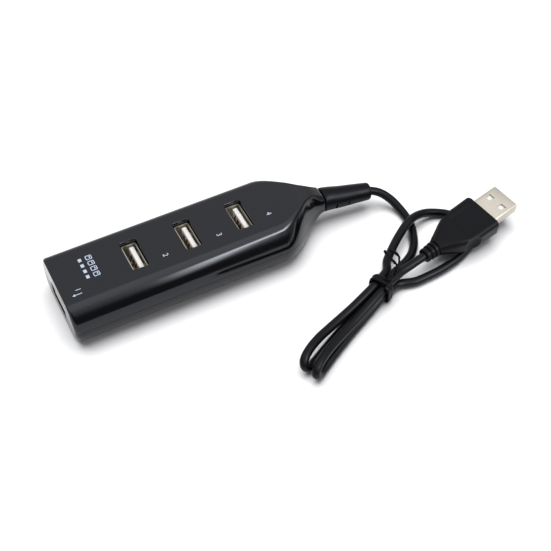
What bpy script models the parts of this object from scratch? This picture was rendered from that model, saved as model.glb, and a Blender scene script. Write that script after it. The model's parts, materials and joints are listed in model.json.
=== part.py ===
"""A four-port desktop hub: a two-piece plastic case, a circuit board with one port in
the end and three standing ports, and a short lead, folded and tied, with its plug.

Sizes are in millimetres and turned into metres when a mesh is made. While it is being
modelled, X = 0 is the end with port 1 in it, +X runs towards the lead, +Z is up and
Z = 0 is the table. centre() then moves everything so that the hub's own box is centred.
"""
import math

import bmesh
import bpy
from mathutils import Matrix, Vector

MM = 0.001
GAP = 0.3                     # between pieces that touch

# the case: a loaf-shaped section, flat on top and below, with full, rounded sides
CASE_LENGTH = 105.2           # end face to neck face
CASE_HALF_WIDTH = 17.8        # at its widest, a little below half-way up
CASE_HEIGHT = 18.8
WIDEST_AT = 8.6
JOINT_HEIGHT = 9.6            # the joint between the two halves, and the neck's axis
NECK_RADIUS = 4.6
TOP_FLAT = 11.1               # half-width of the flat top
TOP_ROUNDING = 3.6
TOP_ROUNDING_TURN = 52        # degrees; below it the side falls away more slowly
BOTTOM_FLAT = 9.4             # half-width of the flat base
WALL = 1.8
CAVITY_END = 95.5             # the neck is solid from here on, but for its bore
NECK_BORE = 3.2

# the ports
PORT_FIRST = 29.9             # port 2, the first that stands up
PORT_PITCH = 20.7
STANDING_PORTS = (2, 3, 4)
SHELL_LONG = 13.1
SHELL_THICK = 5.7
SHELL_WALL = 0.4
TONGUE_LONG = 11.1
TONGUE_THICK = 1.84
TONGUE_OFFSET = 0.8           # off the middle, away from the contacts
CUTOUT_CLEARANCE = 0.25       # each side, between a port and its cutout
CONTACT_PLACES = (-3.5, -1.0, 1.0, 3.5)
CONTACT_WIDTH = 1.0
STANDING_PORT_TOP = 17.2
PORT_DEPTH = 11.8
END_PORT_FACE = 0.5           # how far port 1 sits inside the end face

# the board
BOARD_BOTTOM = 3.5
BOARD_THICK = 1.6
BOARD_TOP = BOARD_BOTTOM + BOARD_THICK
BOARD_START = 4.0
BOARD_END = 88.0
BOARD_HALF_WIDTH = 11.8
POST_PLACES = ((21.0, 9.6), (21.0, -9.6), (81.0, 9.6), (81.0, -9.6))

# the lead
CABLE_RADIUS = 1.65
BORE_RADIUS = CABLE_RADIUS + GAP
CABLE_REST = 1.7              # height of its middle where it lies on the table
HANK_CORNER = Vector((105.1, -47.2, 0.0))
HANK_RUN = Vector((-0.8926, -0.4508, 0.0))
HANK_SIDE = Vector((0.4508, -0.8926, 0.0))

# the plug
PLUG_ORIGIN = Vector((157.3, -33.4, 8.0))   # middle of the grip's front face
PLUG_ALONG = Vector((0.9755, 0.2178, 0.0323))
PLUG_ACROSS = Vector((-0.2196, 0.9729, 0.0721))
PLUG_SHELL_LONG = 12.0
PLUG_SHELL_THICK = 4.5
PLUG_SHELL_REACH = 12.0

# the strain relief: its axis from the neck to its tip, and its radius along it
RELIEF_AXIS = (
    (92.6, 0, 9.6), (98, 0, 9.6), (103, 0, 9.6), (106.2, 0, 9.6), (109.4, -0.35, 9.25), (112.6, -0.85, 8.8), (119, -1.6, 8.1),
    (125.4, -2.4, 7.4))
RELIEF_OUTSIDE = (
    (92.9, 4.3), (95.0, 4.3), (95.2, 2.9), (105.4, 2.9), (105.7, 4.55), (107.0, 4.7), (123.9, 3.5),
    (124.9, 3.35), (125.3, 2.9))


# ---------------------------------------------------------------- small helpers

def clear_scene():
    for thing in list(bpy.data.objects):
        bpy.data.objects.remove(thing, do_unlink=True)


def material(name, colour, roughness, metallic=0.0):
    mat = bpy.data.materials.new(name)
    mat.use_nodes = True
    shader = mat.node_tree.nodes["Principled BSDF"]
    shader.inputs["Base Color"].default_value = (*colour, 1.0)
    shader.inputs["Roughness"].default_value = roughness
    shader.inputs["Metallic"].default_value = metallic
    return mat


def add_object(name, mesh, mat=None):
    thing = bpy.data.objects.new(name, mesh)
    bpy.context.scene.collection.objects.link(thing)
    if mat:
        mesh.materials.append(mat)
    return thing


def finish_mesh(name, bm, mat, smooth=True):
    """Turn a bmesh in millimetres into an object in metres."""
    bmesh.ops.recalc_face_normals(bm, faces=bm.faces)
    bmesh.ops.scale(bm, vec=(MM, MM, MM), verts=bm.verts)
    mesh = bpy.data.meshes.new(name)
    bm.to_mesh(mesh)
    bm.free()
    if smooth:
        mesh.shade_smooth()
        mesh.set_sharp_from_angle(angle=math.radians(35))
    return add_object(name, mesh, mat)


def add_box(bm, low, high, place=Matrix()):
    size = [b - a for a, b in zip(low, high)]
    middle = [(a + b) / 2 for a, b in zip(low, high)]
    made = bmesh.ops.create_cube(bm, size=1.0)["verts"]
    bmesh.ops.scale(bm, vec=size, verts=made)
    bmesh.ops.translate(bm, vec=middle, verts=made)
    bmesh.ops.transform(bm, matrix=place, verts=made)
    return made


def add_cylinder(bm, middle, radius, height, sides=16, top_radius=None, place=Matrix()):
    made = bmesh.ops.create_cone(
        bm, cap_ends=True, segments=sides, radius1=radius,
        radius2=radius if top_radius is None else top_radius, depth=height)["verts"]
    bmesh.ops.translate(bm, vec=middle, verts=made)
    bmesh.ops.transform(bm, matrix=place, verts=made)
    return made


def add_turned(bm, foot, profile, sides=16):
    """An upright turned shape: heights with their radii, from the bottom up."""
    rings = []
    for height, radius in profile:
        turns = [2 * math.pi * i / sides for i in range(sides)]
        spots = [(foot[0] + radius * math.cos(t), foot[1] + radius * math.sin(t), foot[2] + height) for t in turns]
        rings.append([bm.verts.new(spot) for spot in spots])
    bridge_rings(bm, rings)


def add_rounded_bar(bm, half_a, half_b, corner, low, high, place=Matrix(), steps=3):
    """An upright bar with a rounded rectangular section."""
    outline = rounded_rectangle(half_a, half_b, corner, steps)
    rings = [[bm.verts.new((a, b, h)) for a, b in outline] for h in (low, high)]
    bridge_rings(bm, rings)
    made = [v for ring in rings for v in ring]
    bmesh.ops.transform(bm, matrix=place, verts=made)
    return made


def rounded_rectangle(half_a, half_b, corner, steps=3):
    points = []
    for quarter in range(4):
        sign_a = 1 if quarter in (0, 3) else -1
        sign_b = 1 if quarter in (0, 1) else -1
        middle = (sign_a * (half_a - corner), sign_b * (half_b - corner))
        for step in range(steps + 1):
            turn = math.pi / 2 * (quarter + step / steps)
            points.append((middle[0] + corner * math.cos(turn), middle[1] + corner * math.sin(turn)))
    return points


def bridge_rings(bm, rings, closed_ends=True):
    """Join rings of the same number of points into a skin, with flat ends."""
    count = len(rings[0])
    for first, second in zip(rings, rings[1:]):
        for i in range(count):
            j = (i + 1) % count
            bm.faces.new((first[i], first[j], second[j], second[i]))
    if closed_ends:
        bm.faces.new(list(reversed(rings[0])))
        bm.faces.new(rings[-1])


def cut(target, cutter):
    """Take the cutter's shape out of the target."""
    cutter.hide_render = True
    cutter.display_type = "WIRE"
    change = target.modifiers.new("cut " + cutter.name, "BOOLEAN")
    change.operation = "DIFFERENCE"
    change.solver = "EXACT"
    change.object = cutter


def weld(target, extra):
    """Join the extra shape to the target as one solid."""
    extra.hide_render = True
    extra.display_type = "WIRE"
    change = target.modifiers.new("join " + extra.name, "BOOLEAN")
    change.operation = "UNION"
    change.solver = "EXACT"
    change.object = extra


def ease(x, start, end):
    """0 before start, 1 after end, and a smooth S between them."""
    u = min(max((x - start) / (end - start), 0.0), 1.0)
    return (1 - math.cos(math.pi * u)) / 2


def smooth_route(points, spacing):
    """Points at even steps of about that spacing along a Catmull-Rom curve."""
    knots = [Vector(p) for p in points]
    knots = [knots[0] * 2 - knots[1]] + knots + [knots[-1] * 2 - knots[-2]]
    fine = []
    for a, b, c, d in zip(knots, knots[1:], knots[2:], knots[3:]):
        for step in range(16):
            t = step / 16
            fine.append(0.5 * ((2 * b) + (c - a) * t + (2 * a - 5 * b + 4 * c - d) * t ** 2
                               + (3 * b - a - 3 * c + d) * t ** 3))
    fine.append(knots[-2])
    length = sum((q - p).length for p, q in zip(fine, fine[1:]))
    pieces = max(2, round(length / spacing))
    route = [fine[0]]
    walked = 0.0
    for p, q in zip(fine, fine[1:]):
        step = (q - p).length
        while len(route) < pieces and walked + step >= len(route) * length / pieces - 1e-9:
            share = (len(route) * length / pieces - walked) / step
            route.append(p.lerp(q, share))
        walked += step
    route.append(fine[-1])
    return route


def add_tube(name, points, radius, mat, resolution=2):
    """A round tube through the points: a curve with a bevel and filled ends."""
    curve = bpy.data.curves.new(name, "CURVE")
    curve.dimensions = "3D"
    curve.bevel_depth = radius * MM
    curve.bevel_resolution = resolution
    curve.use_fill_caps = True
    line = curve.splines.new("POLY")
    line.points.add(len(points) - 1)
    for knot, point in zip(line.points, points):
        knot.co = (*(Vector(point) * MM), 1.0)
    curve.materials.append(mat)
    tube = bpy.data.objects.new(name, curve)
    bpy.context.scene.collection.objects.link(tube)
    return tube


def hank(run, side, height):
    """A place in the folded hank: along it, across it and above the table."""
    return HANK_CORNER + HANK_RUN * run + HANK_SIDE * side + Vector((0, 0, height))


def plug_frame():
    """The plug's own frame: X to its tip, Y across it, Z up."""
    up = PLUG_ALONG.cross(PLUG_ACROSS).normalized()
    across = up.cross(PLUG_ALONG).normalized()
    turn = Matrix((PLUG_ALONG.normalized(), across, up)).transposed()
    return Matrix.Translation(PLUG_ORIGIN) @ turn.to_4x4()


# ---------------------------------------------------------------- the case

def upper_profile():
    """The upper half of the section: (y, height above the joint, turn of its normal from +Z)."""
    points = []
    turn = math.radians(TOP_ROUNDING_TURN)
    middle = CASE_HEIGHT - TOP_ROUNDING
    start = Vector((TOP_FLAT + TOP_ROUNDING * math.sin(turn), middle + TOP_ROUNDING * math.cos(turn)))
    end = Vector((CASE_HALF_WIDTH, WIDEST_AT))
    knee = Vector((CASE_HALF_WIDTH, start.y - (CASE_HALF_WIDTH - start.x) * math.tan(turn)))
    for step in (0.0, 0.2, 0.4, 0.6, 0.8, 1.0):
        t = 0.885 * (1 - step)
        spot = start * (1 - t) ** 2 + knee * 2 * t * (1 - t) + end * t ** 2
        run = (knee - start) * (1 - t) + (end - knee) * t
        points.append((spot.x, spot.y - JOINT_HEIGHT, math.atan2(-run.y, run.x)))
    points[0] = (points[0][0], 0.0, math.pi / 2)
    for step in range(1, 6):
        bend = turn * (1 - step / 5)
        spot = (TOP_FLAT + TOP_ROUNDING * math.sin(bend), middle + TOP_ROUNDING * math.cos(bend))
        points.append((spot[0], spot[1] - JOINT_HEIGHT, bend))
    return points


def lower_profile():
    """The lower half of the section: (y, depth below the joint, turn of its normal from -Z)."""
    points = [(CASE_HALF_WIDTH, 0.0, math.pi / 2)]
    for step in range(1, 10):
        turn = math.pi / 2 * (1 - step / 9)
        y = BOTTOM_FLAT + (CASE_HALF_WIDTH - BOTTOM_FLAT) * math.sin(turn)
        depth = JOINT_HEIGHT - WIDEST_AT + WIDEST_AT * math.cos(turn)
        points.append((y, depth, turn))
    return points


def case_section(x, upper, inset=0.0):
    """Half of the case's section at x: points from +Y over to -Y, without the joint face."""
    if upper:
        base = upper_profile()
        full = CASE_HEIGHT - JOINT_HEIGHT
        tall = full - (full - NECK_RADIUS) * ease(x, 98.6, 108.4)
    else:
        base = lower_profile()
        full = JOINT_HEIGHT
        tall = full - (full - NECK_RADIUS) * ease(x, 96.5, 104.2)
    roundness = ease(x, 93, 103)
    points = []
    for i, (y, z, turn) in enumerate(base):
        level = (JOINT_HEIGHT + z if upper else JOINT_HEIGHT - z) / CASE_HEIGHT
        narrow = ease(x, 82.7 - 0.54 * level, 107.6 - 4.9 * level)
        share = 1 - (1 - NECK_RADIUS / CASE_HALF_WIDTH) * narrow
        angle = math.atan2(y / CASE_HALF_WIDTH, z / full)
        oval = (CASE_HALF_WIDTH * share * math.sin(angle), tall * math.cos(angle))
        plain = (y * share, z * tall / full)
        spot = [a + (b - a) * roundness for a, b in zip(plain, oval)]
        off = inset + end_rounding(x, turn if upper else math.pi - turn)
        y = max(spot[0] - off * math.sin(turn), 0.05)
        z = max(spot[1] - off * math.cos(turn), GAP / 2 + 0.06 * i)
        points.append((y, z))
    both = points + [(-y, z) for y, z in reversed(points)]
    sign = 1 if upper else -1
    return [(y, JOINT_HEIGHT + sign * z) for y, z in both]


def end_rounding(x, turn):
    """How far the surface is drawn in near the end face; the edge is sharper along the top."""
    radius = 0.6 + 1.8 * min(1 - math.cos(turn), 1.0)
    if x >= radius:
        return 0.0
    return radius - math.sqrt(radius ** 2 - (radius - x) ** 2)


def case_stations(start, end):
    rounded = [start + s for s in (0.0, 0.12, 0.4, 0.9, 1.5, 2.2)]
    body = [30.0, 58.0, 82.0]
    taper = [84.0 + 1.35 * i for i in range(17)]
    return [x for x in rounded + body + taper if start <= x < end - 0.6] + [end - 0.35, end]


def case_half(name, upper, mat):
    """One half of the case as a solid, before anything is cut out of it."""
    bm = bmesh.new()
    rings = []
    for x in case_stations(0.0, CASE_LENGTH):
        ease_off = 0.35 if x == CASE_LENGTH else 0.0
        ring = [(x, y, z) for y, z in case_section(x, upper, ease_off)]
        rings.append([bm.verts.new(p) for p in ring])
    bridge_rings(bm, rings)
    return finish_mesh(name, bm, mat)


def cavity_cutter(name, upper):
    """The space inside one half of the case, open past the joint face."""
    bm = bmesh.new()
    rings = []
    beyond = JOINT_HEIGHT + (-3.0 if upper else 3.0)
    stations = [WALL, 20, 50, 80, 84, 86, 88, 90, 92, 94, CAVITY_END]
    for x in stations:
        section = case_section(max(x, 5.0), upper, 0.0)
        ring = []
        for y, z in section:
            pulled = math.copysign(max(abs(y) - WALL, 0.3), y)
            limit = abs(z - JOINT_HEIGHT)
            height = JOINT_HEIGHT + math.copysign(max(min(limit, cavity_depth(x, upper)), 0.0), z - JOINT_HEIGHT)
            ring.append((x, pulled, height))
        ring[0] = (x, ring[0][1], beyond)
        ring[-1] = (x, ring[-1][1], beyond)
        rings.append([bm.verts.new(p) for p in ring])
    bridge_rings(bm, rings)
    return finish_mesh(name, bm, None)


def cavity_depth(x, upper):
    if upper:
        return CASE_HEIGHT - JOINT_HEIGHT - WALL
    return JOINT_HEIGHT - WALL - 5.0 * ease(x, 88, 100)


def port_place(number):
    return PORT_FIRST + PORT_PITCH * (number - 2)


def port_cutters(name):
    """Three rectangular holes in the top and the one in the end face."""
    bm = bmesh.new()
    long = SHELL_LONG / 2 + CUTOUT_CLEARANCE
    thick = SHELL_THICK / 2 + CUTOUT_CLEARANCE
    for number in STANDING_PORTS:
        place = Matrix.Translation((port_place(number), 0, 0))
        add_rounded_bar(bm, thick, long, 0.8, 12.0, CASE_HEIGHT + 2, place)
    sideways = Matrix.Translation((0, 0, JOINT_HEIGHT)) @ Matrix.Rotation(math.pi / 2, 4, "Y")
    add_rounded_bar(bm, thick, long, 0.8, -2.0, WALL + 2.0, sideways)
    return finish_mesh(name, bm, None)


def neck_bore_cutter(name):
    bm = bmesh.new()
    along = Matrix.Translation((101.5, 0, JOINT_HEIGHT)) @ Matrix.Rotation(math.pi / 2, 4, "Y")
    add_cylinder(bm, (0, 0, 0), NECK_BORE, 14.0, sides=24, place=along)
    return finish_mesh(name, bm, None)


def make_top_shell(mat):
    shell = case_half("top_shell", True, mat)
    ribs = bmesh.new()
    for x in (25.0, 78.0):
        for side in (-1, 1):
            add_box(ribs, (x - 0.6, side * 15.0 - 1.1, 10.4), (x + 0.6, side * 15.0 + 1.1, 13.6))
    cut(shell, cavity_cutter("top_cavity", True))
    weld(shell, finish_mesh("top_ribs", ribs, None))
    cut(shell, port_cutters("top_port_holes"))
    cut(shell, neck_bore_cutter("top_neck_bore"))
    return shell


def make_bottom_shell(mat):
    shell = case_half("bottom_shell", False, mat)
    cut(shell, cavity_cutter("bottom_cavity", False))
    posts = bmesh.new()
    for x, y in POST_PLACES:
        add_turned(posts, (x, y, 0), ((0.8, 1.9), (3.2, 1.9), (3.2, 0.9), (6.0, 0.9), (6.3, 0.6)), 16)
    for x in (16.0, 45.0, 71.0):
        for side in (-1, 1):
            add_snap_hook(posts, x, side)
    weld(shell, finish_mesh("bottom_posts_and_hooks", posts, None))
    cut(shell, port_cutters("bottom_port_hole"))
    cut(shell, neck_bore_cutter("bottom_neck_bore"))
    return shell


def add_snap_hook(bm, x, side):
    """A springy tab that stands inside the wall and hooks into the upper half."""
    inner = side * 12.2
    outer = side * 13.2
    low, high = sorted((inner, outer))
    add_box(bm, (x - 2.0, low, 1.2), (x + 2.0, high, 12.4))


# ---------------------------------------------------------------- the ports

def port_frame(number):
    """A port's own frame: X across its thickness, Y along its width, Z out of its mouth."""
    if number == 1:
        turn = Matrix(((0, 0, -1), (0, 1, 0), (1, 0, 0))).to_4x4()
        return Matrix.Translation((END_PORT_FACE, 0, JOINT_HEIGHT)) @ turn
    return Matrix.Translation((port_place(number), 0, STANDING_PORT_TOP))


def make_port_shell(number, mat):
    """A folded steel box, open at its mouth, round the tongue."""
    place = port_frame(number)
    bm = bmesh.new()
    add_rounded_bar(bm, SHELL_THICK / 2, SHELL_LONG / 2, 0.7, -PORT_DEPTH, 0.0, place)
    shell = finish_mesh(f"port_{number}_shell", bm, mat)
    hollow = bmesh.new()
    inner_thick = SHELL_THICK / 2 - SHELL_WALL
    inner_long = SHELL_LONG / 2 - SHELL_WALL
    add_rounded_bar(hollow, inner_thick, inner_long, 0.4, -PORT_DEPTH - 1, 1.0, place)
    cut(shell, finish_mesh(f"port_{number}_hollow", hollow, None))
    return shell


def make_port_tongue(number, mat):
    """The insulator: a block at the back that fills the shell, and the tongue on it."""
    place = port_frame(number)
    bm = bmesh.new()
    inner_thick = SHELL_THICK / 2 - SHELL_WALL - GAP
    inner_long = SHELL_LONG / 2 - SHELL_WALL - GAP
    low = TONGUE_OFFSET - TONGUE_THICK / 2
    high = TONGUE_OFFSET + TONGUE_THICK / 2
    floor = -PORT_DEPTH + 0.2
    outline = [(-inner_thick, floor), (inner_thick, floor), (inner_thick, floor + 2.6), (high, floor + 2.6),
               (high, -1.2), (high - 0.25, -0.95), (low + 0.25, -0.95), (low, -1.2),
               (low, floor + 2.6), (-inner_thick, floor + 2.6)]
    add_stepped_tongue(bm, outline, inner_long, place)
    tongue = finish_mesh(f"port_{number}_tongue", bm, mat)
    slots = bmesh.new()
    half = CONTACT_WIDTH / 2 + GAP
    groove = [(-inner_thick - 1, -PORT_DEPTH - 1), (low - 0.1, -PORT_DEPTH - 1), (low - 0.1, floor + 2.0),
              (low + 0.55, floor + 2.0), (low + 0.55, -2.2), (low - 0.6, -2.2), (low - 0.6, floor + 3.2),
              (-inner_thick - 1, floor + 3.2)]
    for y in CONTACT_PLACES:
        add_profile(slots, groove, y - half, y + half, place)
    cut(tongue, finish_mesh(f"port_{number}_contact_slots", slots, None))
    return tongue


def add_profile(bm, outline, start, end, place=Matrix()):
    """An outline in the XZ plane, carried from one Y to another."""
    rings = [[bm.verts.new((x, y, z)) for x, z in outline] for y in (start, end)]
    bridge_rings(bm, rings)
    made = [v for ring in rings for v in ring]
    bmesh.ops.transform(bm, matrix=place, verts=made)
    return made


def add_stepped_tongue(bm, outline, half_long, place):
    """The tongue's outline carried across the port; the tongue itself is a little narrower."""
    made = add_profile(bm, outline, -half_long, half_long)
    for vert in made:
        if vert.co.z > -PORT_DEPTH + 3.5:
            vert.co.y *= TONGUE_LONG / 2 / half_long
    bmesh.ops.transform(bm, matrix=place, verts=made)


def make_port_contacts(number, mat):
    """Four springy contacts on the tongue, each a bowed strip with a tail to the board."""
    place = port_frame(number)
    low = TONGUE_OFFSET - TONGUE_THICK / 2
    back = low - 0.75
    tail = [(back, -PORT_DEPTH - 1.9)]
    if number == 1:
        foot = BOARD_TOP + GAP + 0.11 - JOINT_HEIGHT
        tail = [(foot, -15.2), (foot, -14.0), (back, -13.5)]
    spine = tail + [(back, -PORT_DEPTH + 3.0), (low + 0.1, -PORT_DEPTH + 3.9), (low + 0.05, -6.5),
             (low - 0.38, -4.6), (low + 0.1, -3.0)]
    for i, y in enumerate(CONTACT_PLACES):
        bm = bmesh.new()
        add_strip(bm, spine, y, CONTACT_WIDTH, 0.22, place)
        finish_mesh(f"port_{number}_contact_{i + 1}", bm, mat, smooth=False)


def add_strip(bm, spine, y, width, thick, place=Matrix()):
    """A flat strip of that width and thickness which follows a bent line in the XZ plane."""
    rings = []
    for i, (x, z) in enumerate(spine):
        before = spine[max(i - 1, 0)]
        after = spine[min(i + 1, len(spine) - 1)]
        run = Vector((after[0] - before[0], after[1] - before[1])).normalized()
        off = Vector((-run.y, run.x)) * thick / 2
        corners = [(x + off.x, y - width / 2, z + off.y), (x + off.x, y + width / 2, z + off.y),
                   (x - off.x, y + width / 2, z - off.y), (x - off.x, y - width / 2, z - off.y)]
        rings.append([bm.verts.new(place @ Vector(c)) for c in corners])
    bridge_rings(bm, rings)


# ---------------------------------------------------------------- the board

def make_board(mat):
    bm = bmesh.new()
    add_box(bm, (BOARD_START, -BOARD_HALF_WIDTH, BOARD_BOTTOM), (BOARD_END, BOARD_HALF_WIDTH, BOARD_TOP))
    board = finish_mesh("circuit_board", bm, mat, smooth=False)
    holes = bmesh.new()
    for x, y in POST_PLACES:
        add_cylinder(holes, (x, y, 4.3), 0.9 + GAP, 4.0, sides=12)
    for number in STANDING_PORTS:
        x = port_place(number) + TONGUE_OFFSET - TONGUE_THICK / 2 - 0.75
        for y in CONTACT_PLACES:
            add_box(holes, (x - 0.45, y - 0.8, 2), (x + 0.45, y + 0.8, 6))
    cut(board, finish_mesh("board_holes", holes, None, smooth=False))
    return board


def make_port_pedestal(mat):
    """The plastic foot that holds port 1 up at the joint's height, over the board."""
    bm = bmesh.new()
    top = JOINT_HEIGHT - SHELL_THICK / 2 - GAP
    add_box(bm, (5.0, -5.6, BOARD_TOP + GAP), (12.6, 5.6, top))
    return finish_mesh("port_1_foot", bm, mat, smooth=False)


def make_controller(mat):
    """The hub's chip: a flat resin body with eight bent legs down each side."""
    middle = (port_place(2) + port_place(3)) / 2
    chip = bmesh.new()
    base = BOARD_TOP + GAP
    add_box(chip, (middle - 1.95, -5.0, base + 0.2), (middle + 1.95, 5.0, base + 1.75))
    body = finish_mesh("hub_controller_chip", chip, mat, smooth=False)
    legs = bmesh.new()
    for side in (-1, 1):
        for i in range(8):
            y = -4.445 + 1.27 * i
            spine = [(middle + side * 1.7, base + 0.95), (middle + side * 2.75, base + 0.9),
                     (middle + side * 2.95, base + 0.15), (middle + side * 3.6, base + 0.12)]
            add_strip(legs, spine, y, 0.4, 0.2)
    weld(body, finish_mesh("controller_legs", legs, None, smooth=False))
    return body


def make_crystal(mat):
    """A flat metal can with round ends, lying across the board."""
    middle = (port_place(3) + port_place(4)) / 2
    bm = bmesh.new()
    place = Matrix.Translation((middle, 0, 0))
    add_rounded_bar(bm, 2.3, 5.5, 2.29, BOARD_TOP + GAP, BOARD_TOP + 3.8, place, steps=5)
    return finish_mesh("crystal", bm, mat)


def make_bulk_capacitor(mat):
    bm = bmesh.new()
    add_cylinder(bm, (80.5, 4.2, BOARD_TOP + GAP + 2.7), 2.5, 5.4, sides=20)
    return finish_mesh("bulk_capacitor", bm, mat)


def make_small_parts(name, places, size, mat):
    """Numbered small blocks that stand on the board."""
    for i, (x, y) in enumerate(places):
        bm = bmesh.new()
        low = (x - size[0] / 2, y - size[1] / 2, BOARD_TOP + GAP)
        high = (x + size[0] / 2, y + size[1] / 2, BOARD_TOP + GAP + size[2])
        add_box(bm, low, high)
        finish_mesh(f"{name}_{i + 1}", bm, mat, smooth=False)


def make_wires(mats):
    """The lead's four cores, from the end of its sheath to the board."""
    start_spots = ((0.62, 0.62), (-0.62, 0.62), (0.62, -0.62), (-0.62, -0.62))
    pads = (3.9, -3.9, 1.3, -1.3)
    wires = []
    for (colour, mat), (dy, dz), pad in zip(mats.items(), start_spots, pads):
        inside = [(97.2, dy, 9.6 + dz), (94.5, dy, 9.6 + dz), (91.5, dy * 1.5, 9.3 + dz)]
        down = [(89.0, pad * 0.55, 8.3 + dz * 0.8), (86.8, pad * 0.9, 6.5 + dz * 0.3),
                (85.2, pad, BOARD_TOP + GAP + 0.46), (83.6, pad, BOARD_TOP + GAP + 0.44)]
        wires.append(add_tube(f"cord_core_{colour}", smooth_route(inside + down, 1.3), 0.42, mat, 1))
    return wires


# ---------------------------------------------------------------- the lead

def make_strain_relief(mat):
    """A rubber sleeve held in the neck by its flange, tapering to where the lead comes out."""
    axis = smooth_route(RELIEF_AXIS, 0.8)
    bm = bmesh.new()
    outer = []
    inner = []
    for x, radius in RELIEF_OUTSIDE:
        middle, run = axis_at(axis, x)
        outer.append(ring_of(bm, middle, run, radius, 24))
    for x in (RELIEF_OUTSIDE[0][0], 98.0, 105.55, 110.0, 115.0, 120.0, RELIEF_OUTSIDE[-1][0]):
        middle, run = axis_at(axis, x)
        inner.append(ring_of(bm, middle, run, BORE_RADIUS, 24))
    bridge_rings(bm, outer, closed_ends=False)
    bridge_rings(bm, inner, closed_ends=False)
    bridge_rings(bm, [outer[0], inner[0]], closed_ends=False)
    bridge_rings(bm, [outer[-1], inner[-1]], closed_ends=False)
    relief = finish_mesh("strain_relief", bm, mat)
    slots = bmesh.new()
    for x, side in ((110.9, -1), (115.8, -1), (113.4, 1), (118.3, 1)):
        middle, run = axis_at(axis, x)
        turn = run.to_track_quat("X", "Z").to_matrix().to_4x4()
        place = Matrix.Translation(middle) @ turn
        add_box(slots, (-0.4, min(side * 2.7, side * 6), -4.0), (0.4, max(side * 2.7, side * 6), 0.6), place)
    cut(relief, finish_mesh("relief_slots", slots, None))
    return relief


def axis_at(axis, x):
    """The point on the axis at that x, and the axis's direction there."""
    for p, q in zip(axis, axis[1:]):
        if p.x <= x <= q.x:
            share = (x - p.x) / (q.x - p.x)
            return p.lerp(q, share), (q - p).normalized()
    return axis[-1], (axis[-1] - axis[-2]).normalized()


def ring_of(bm, middle, run, radius, sides):
    across = run.cross(Vector((0, 0, 1))).normalized()
    up = across.cross(run).normalized()
    ring = []
    for i in range(sides):
        turn = 2 * math.pi * i / sides
        ring.append(bm.verts.new(middle + (across * math.cos(turn) + up * math.sin(turn)) * radius))
    return ring


FIRST_RUN = [
    (97.6, 0, 9.6), (103, 0, 9.6), (106.2, 0, 9.6), (109.4, -0.35, 9.25), (112.6, -0.85, 8.8), (119, -1.6, 8.1),
    (125.4, -2.4, 7.4), (129.4, -4.3, 6.2), (132.4, -7.8, 4.2), (134.0, -12.2, 2.3),
    (134.3, -16.5, 1.7), (133.6, -21.0, 1.7), (131.9, -25.5, 1.7), (129.6, -29.8, 1.7),
    (126.4, -33.4, 1.7), (121.6, -36.2, 1.7)]
FAR_LOOP = [
    (114.7, -34.7, 5.2), (119.0, -30.8, 5.1), (122.5, -27.9, 5.1), (126.2, -25.2, 5.2),
    (129.6, -23.0, 5.3), (133.0, -21.2, 5.3), (136.4, -20.0, 4.7), (140.8, -19.3, 3.4), (145.0, -20.0, 2.2),
    (148.9, -22.2, 1.7), (151.8, -25.8, 1.7), (153.2, -30.0, 1.7), (152.6, -34.6, 1.7), (149.6, -38.9, 1.7),
    (145.3, -41.4, 1.7), (140.6, -43.2, 1.7), (136.5, -44.2, 1.7), (131.7, -45.0, 1.7), (126.4, -45.4, 1.7),
    (120.6, -45.5, 1.8)]
TO_PLUG = [(116.6, -42.0, 6.1), (121.0, -41.1, 6.2)]
HANK_START = -4.75            # the tubes meet the hank here, just past the tie

# the hank's outside: along it, its two sides and its two heights
HANK_SECTIONS = (
    (-4.3, -5.5, 2.2, 1.25, 8.1), (0.5, -5.6, 1.6, 1.25, 8.1), (7.0, -6.0, 1.4, 0.35, 7.3),
    (14.0, -6.8, 1.3, 0.05, 7.0), (22.0, -7.6, 1.4, 0.05, 7.3), (30.0, -8.1, 1.7, 0.05, 8.0),
    (36.0, -8.1, 2.1, 0.05, 8.5), (40.0, -7.4, 2.4, 0.1, 8.3), (42.2, -6.7, 2.1, 0.8, 7.4),
    (43.0, -6.0, 1.5, 1.8, 6.4))


def make_lead(mat):
    """The lead as it lies: three free stretches, and the folded hank as one solid."""
    meet = [[hank(HANK_START - 4.6, -3.3, 2.35), hank(HANK_START, -3.6, 2.95)],
            [hank(HANK_START, -3.75, 6.4), hank(HANK_START - 4.6, -4.1, 6.0)],
            [hank(HANK_START - 4.6, 1.3, 2.3), hank(HANK_START, 0.5, 2.95)],
            [hank(HANK_START, -0.2, 6.4), hank(HANK_START - 4.4, 0.2, 6.3)]]
    plug_end = [plug_frame() @ Vector((a, 0, 0)) for a in (-31.5, -28.0, -25.2)]
    routes = {"cable_from_hub": FIRST_RUN + meet[0], "cable_far_loop": meet[1] + FAR_LOOP + meet[2],
              "cable_to_plug": meet[3] + TO_PLUG + plug_end}
    for name, route in routes.items():
        add_tube(name, smooth_route(route, 5.2), CABLE_RADIUS, mat)
    bm = bmesh.new()
    rings = []
    for run, near, far, low, high in HANK_SECTIONS:
        outline = rounded_rectangle((far - near) / 2, (high - low) / 2, 1.6, 3)
        ring = [hank(run, (near + far) / 2 + a, (low + high) / 2 + b) for a, b in outline]
        rings.append([bm.verts.new(p) for p in ring])
    bridge_rings(bm, rings)
    return finish_mesh("cable_hank", bm, mat)


def make_twist_tie(mat):
    """A coated wire: two turns round the hank, its ends twisted together and left open."""
    return add_tube("twist_tie", smooth_route(tie_route(), 1.1), TIE_RADIUS, mat, 1)


TIE_RADIUS = 0.5


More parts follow.
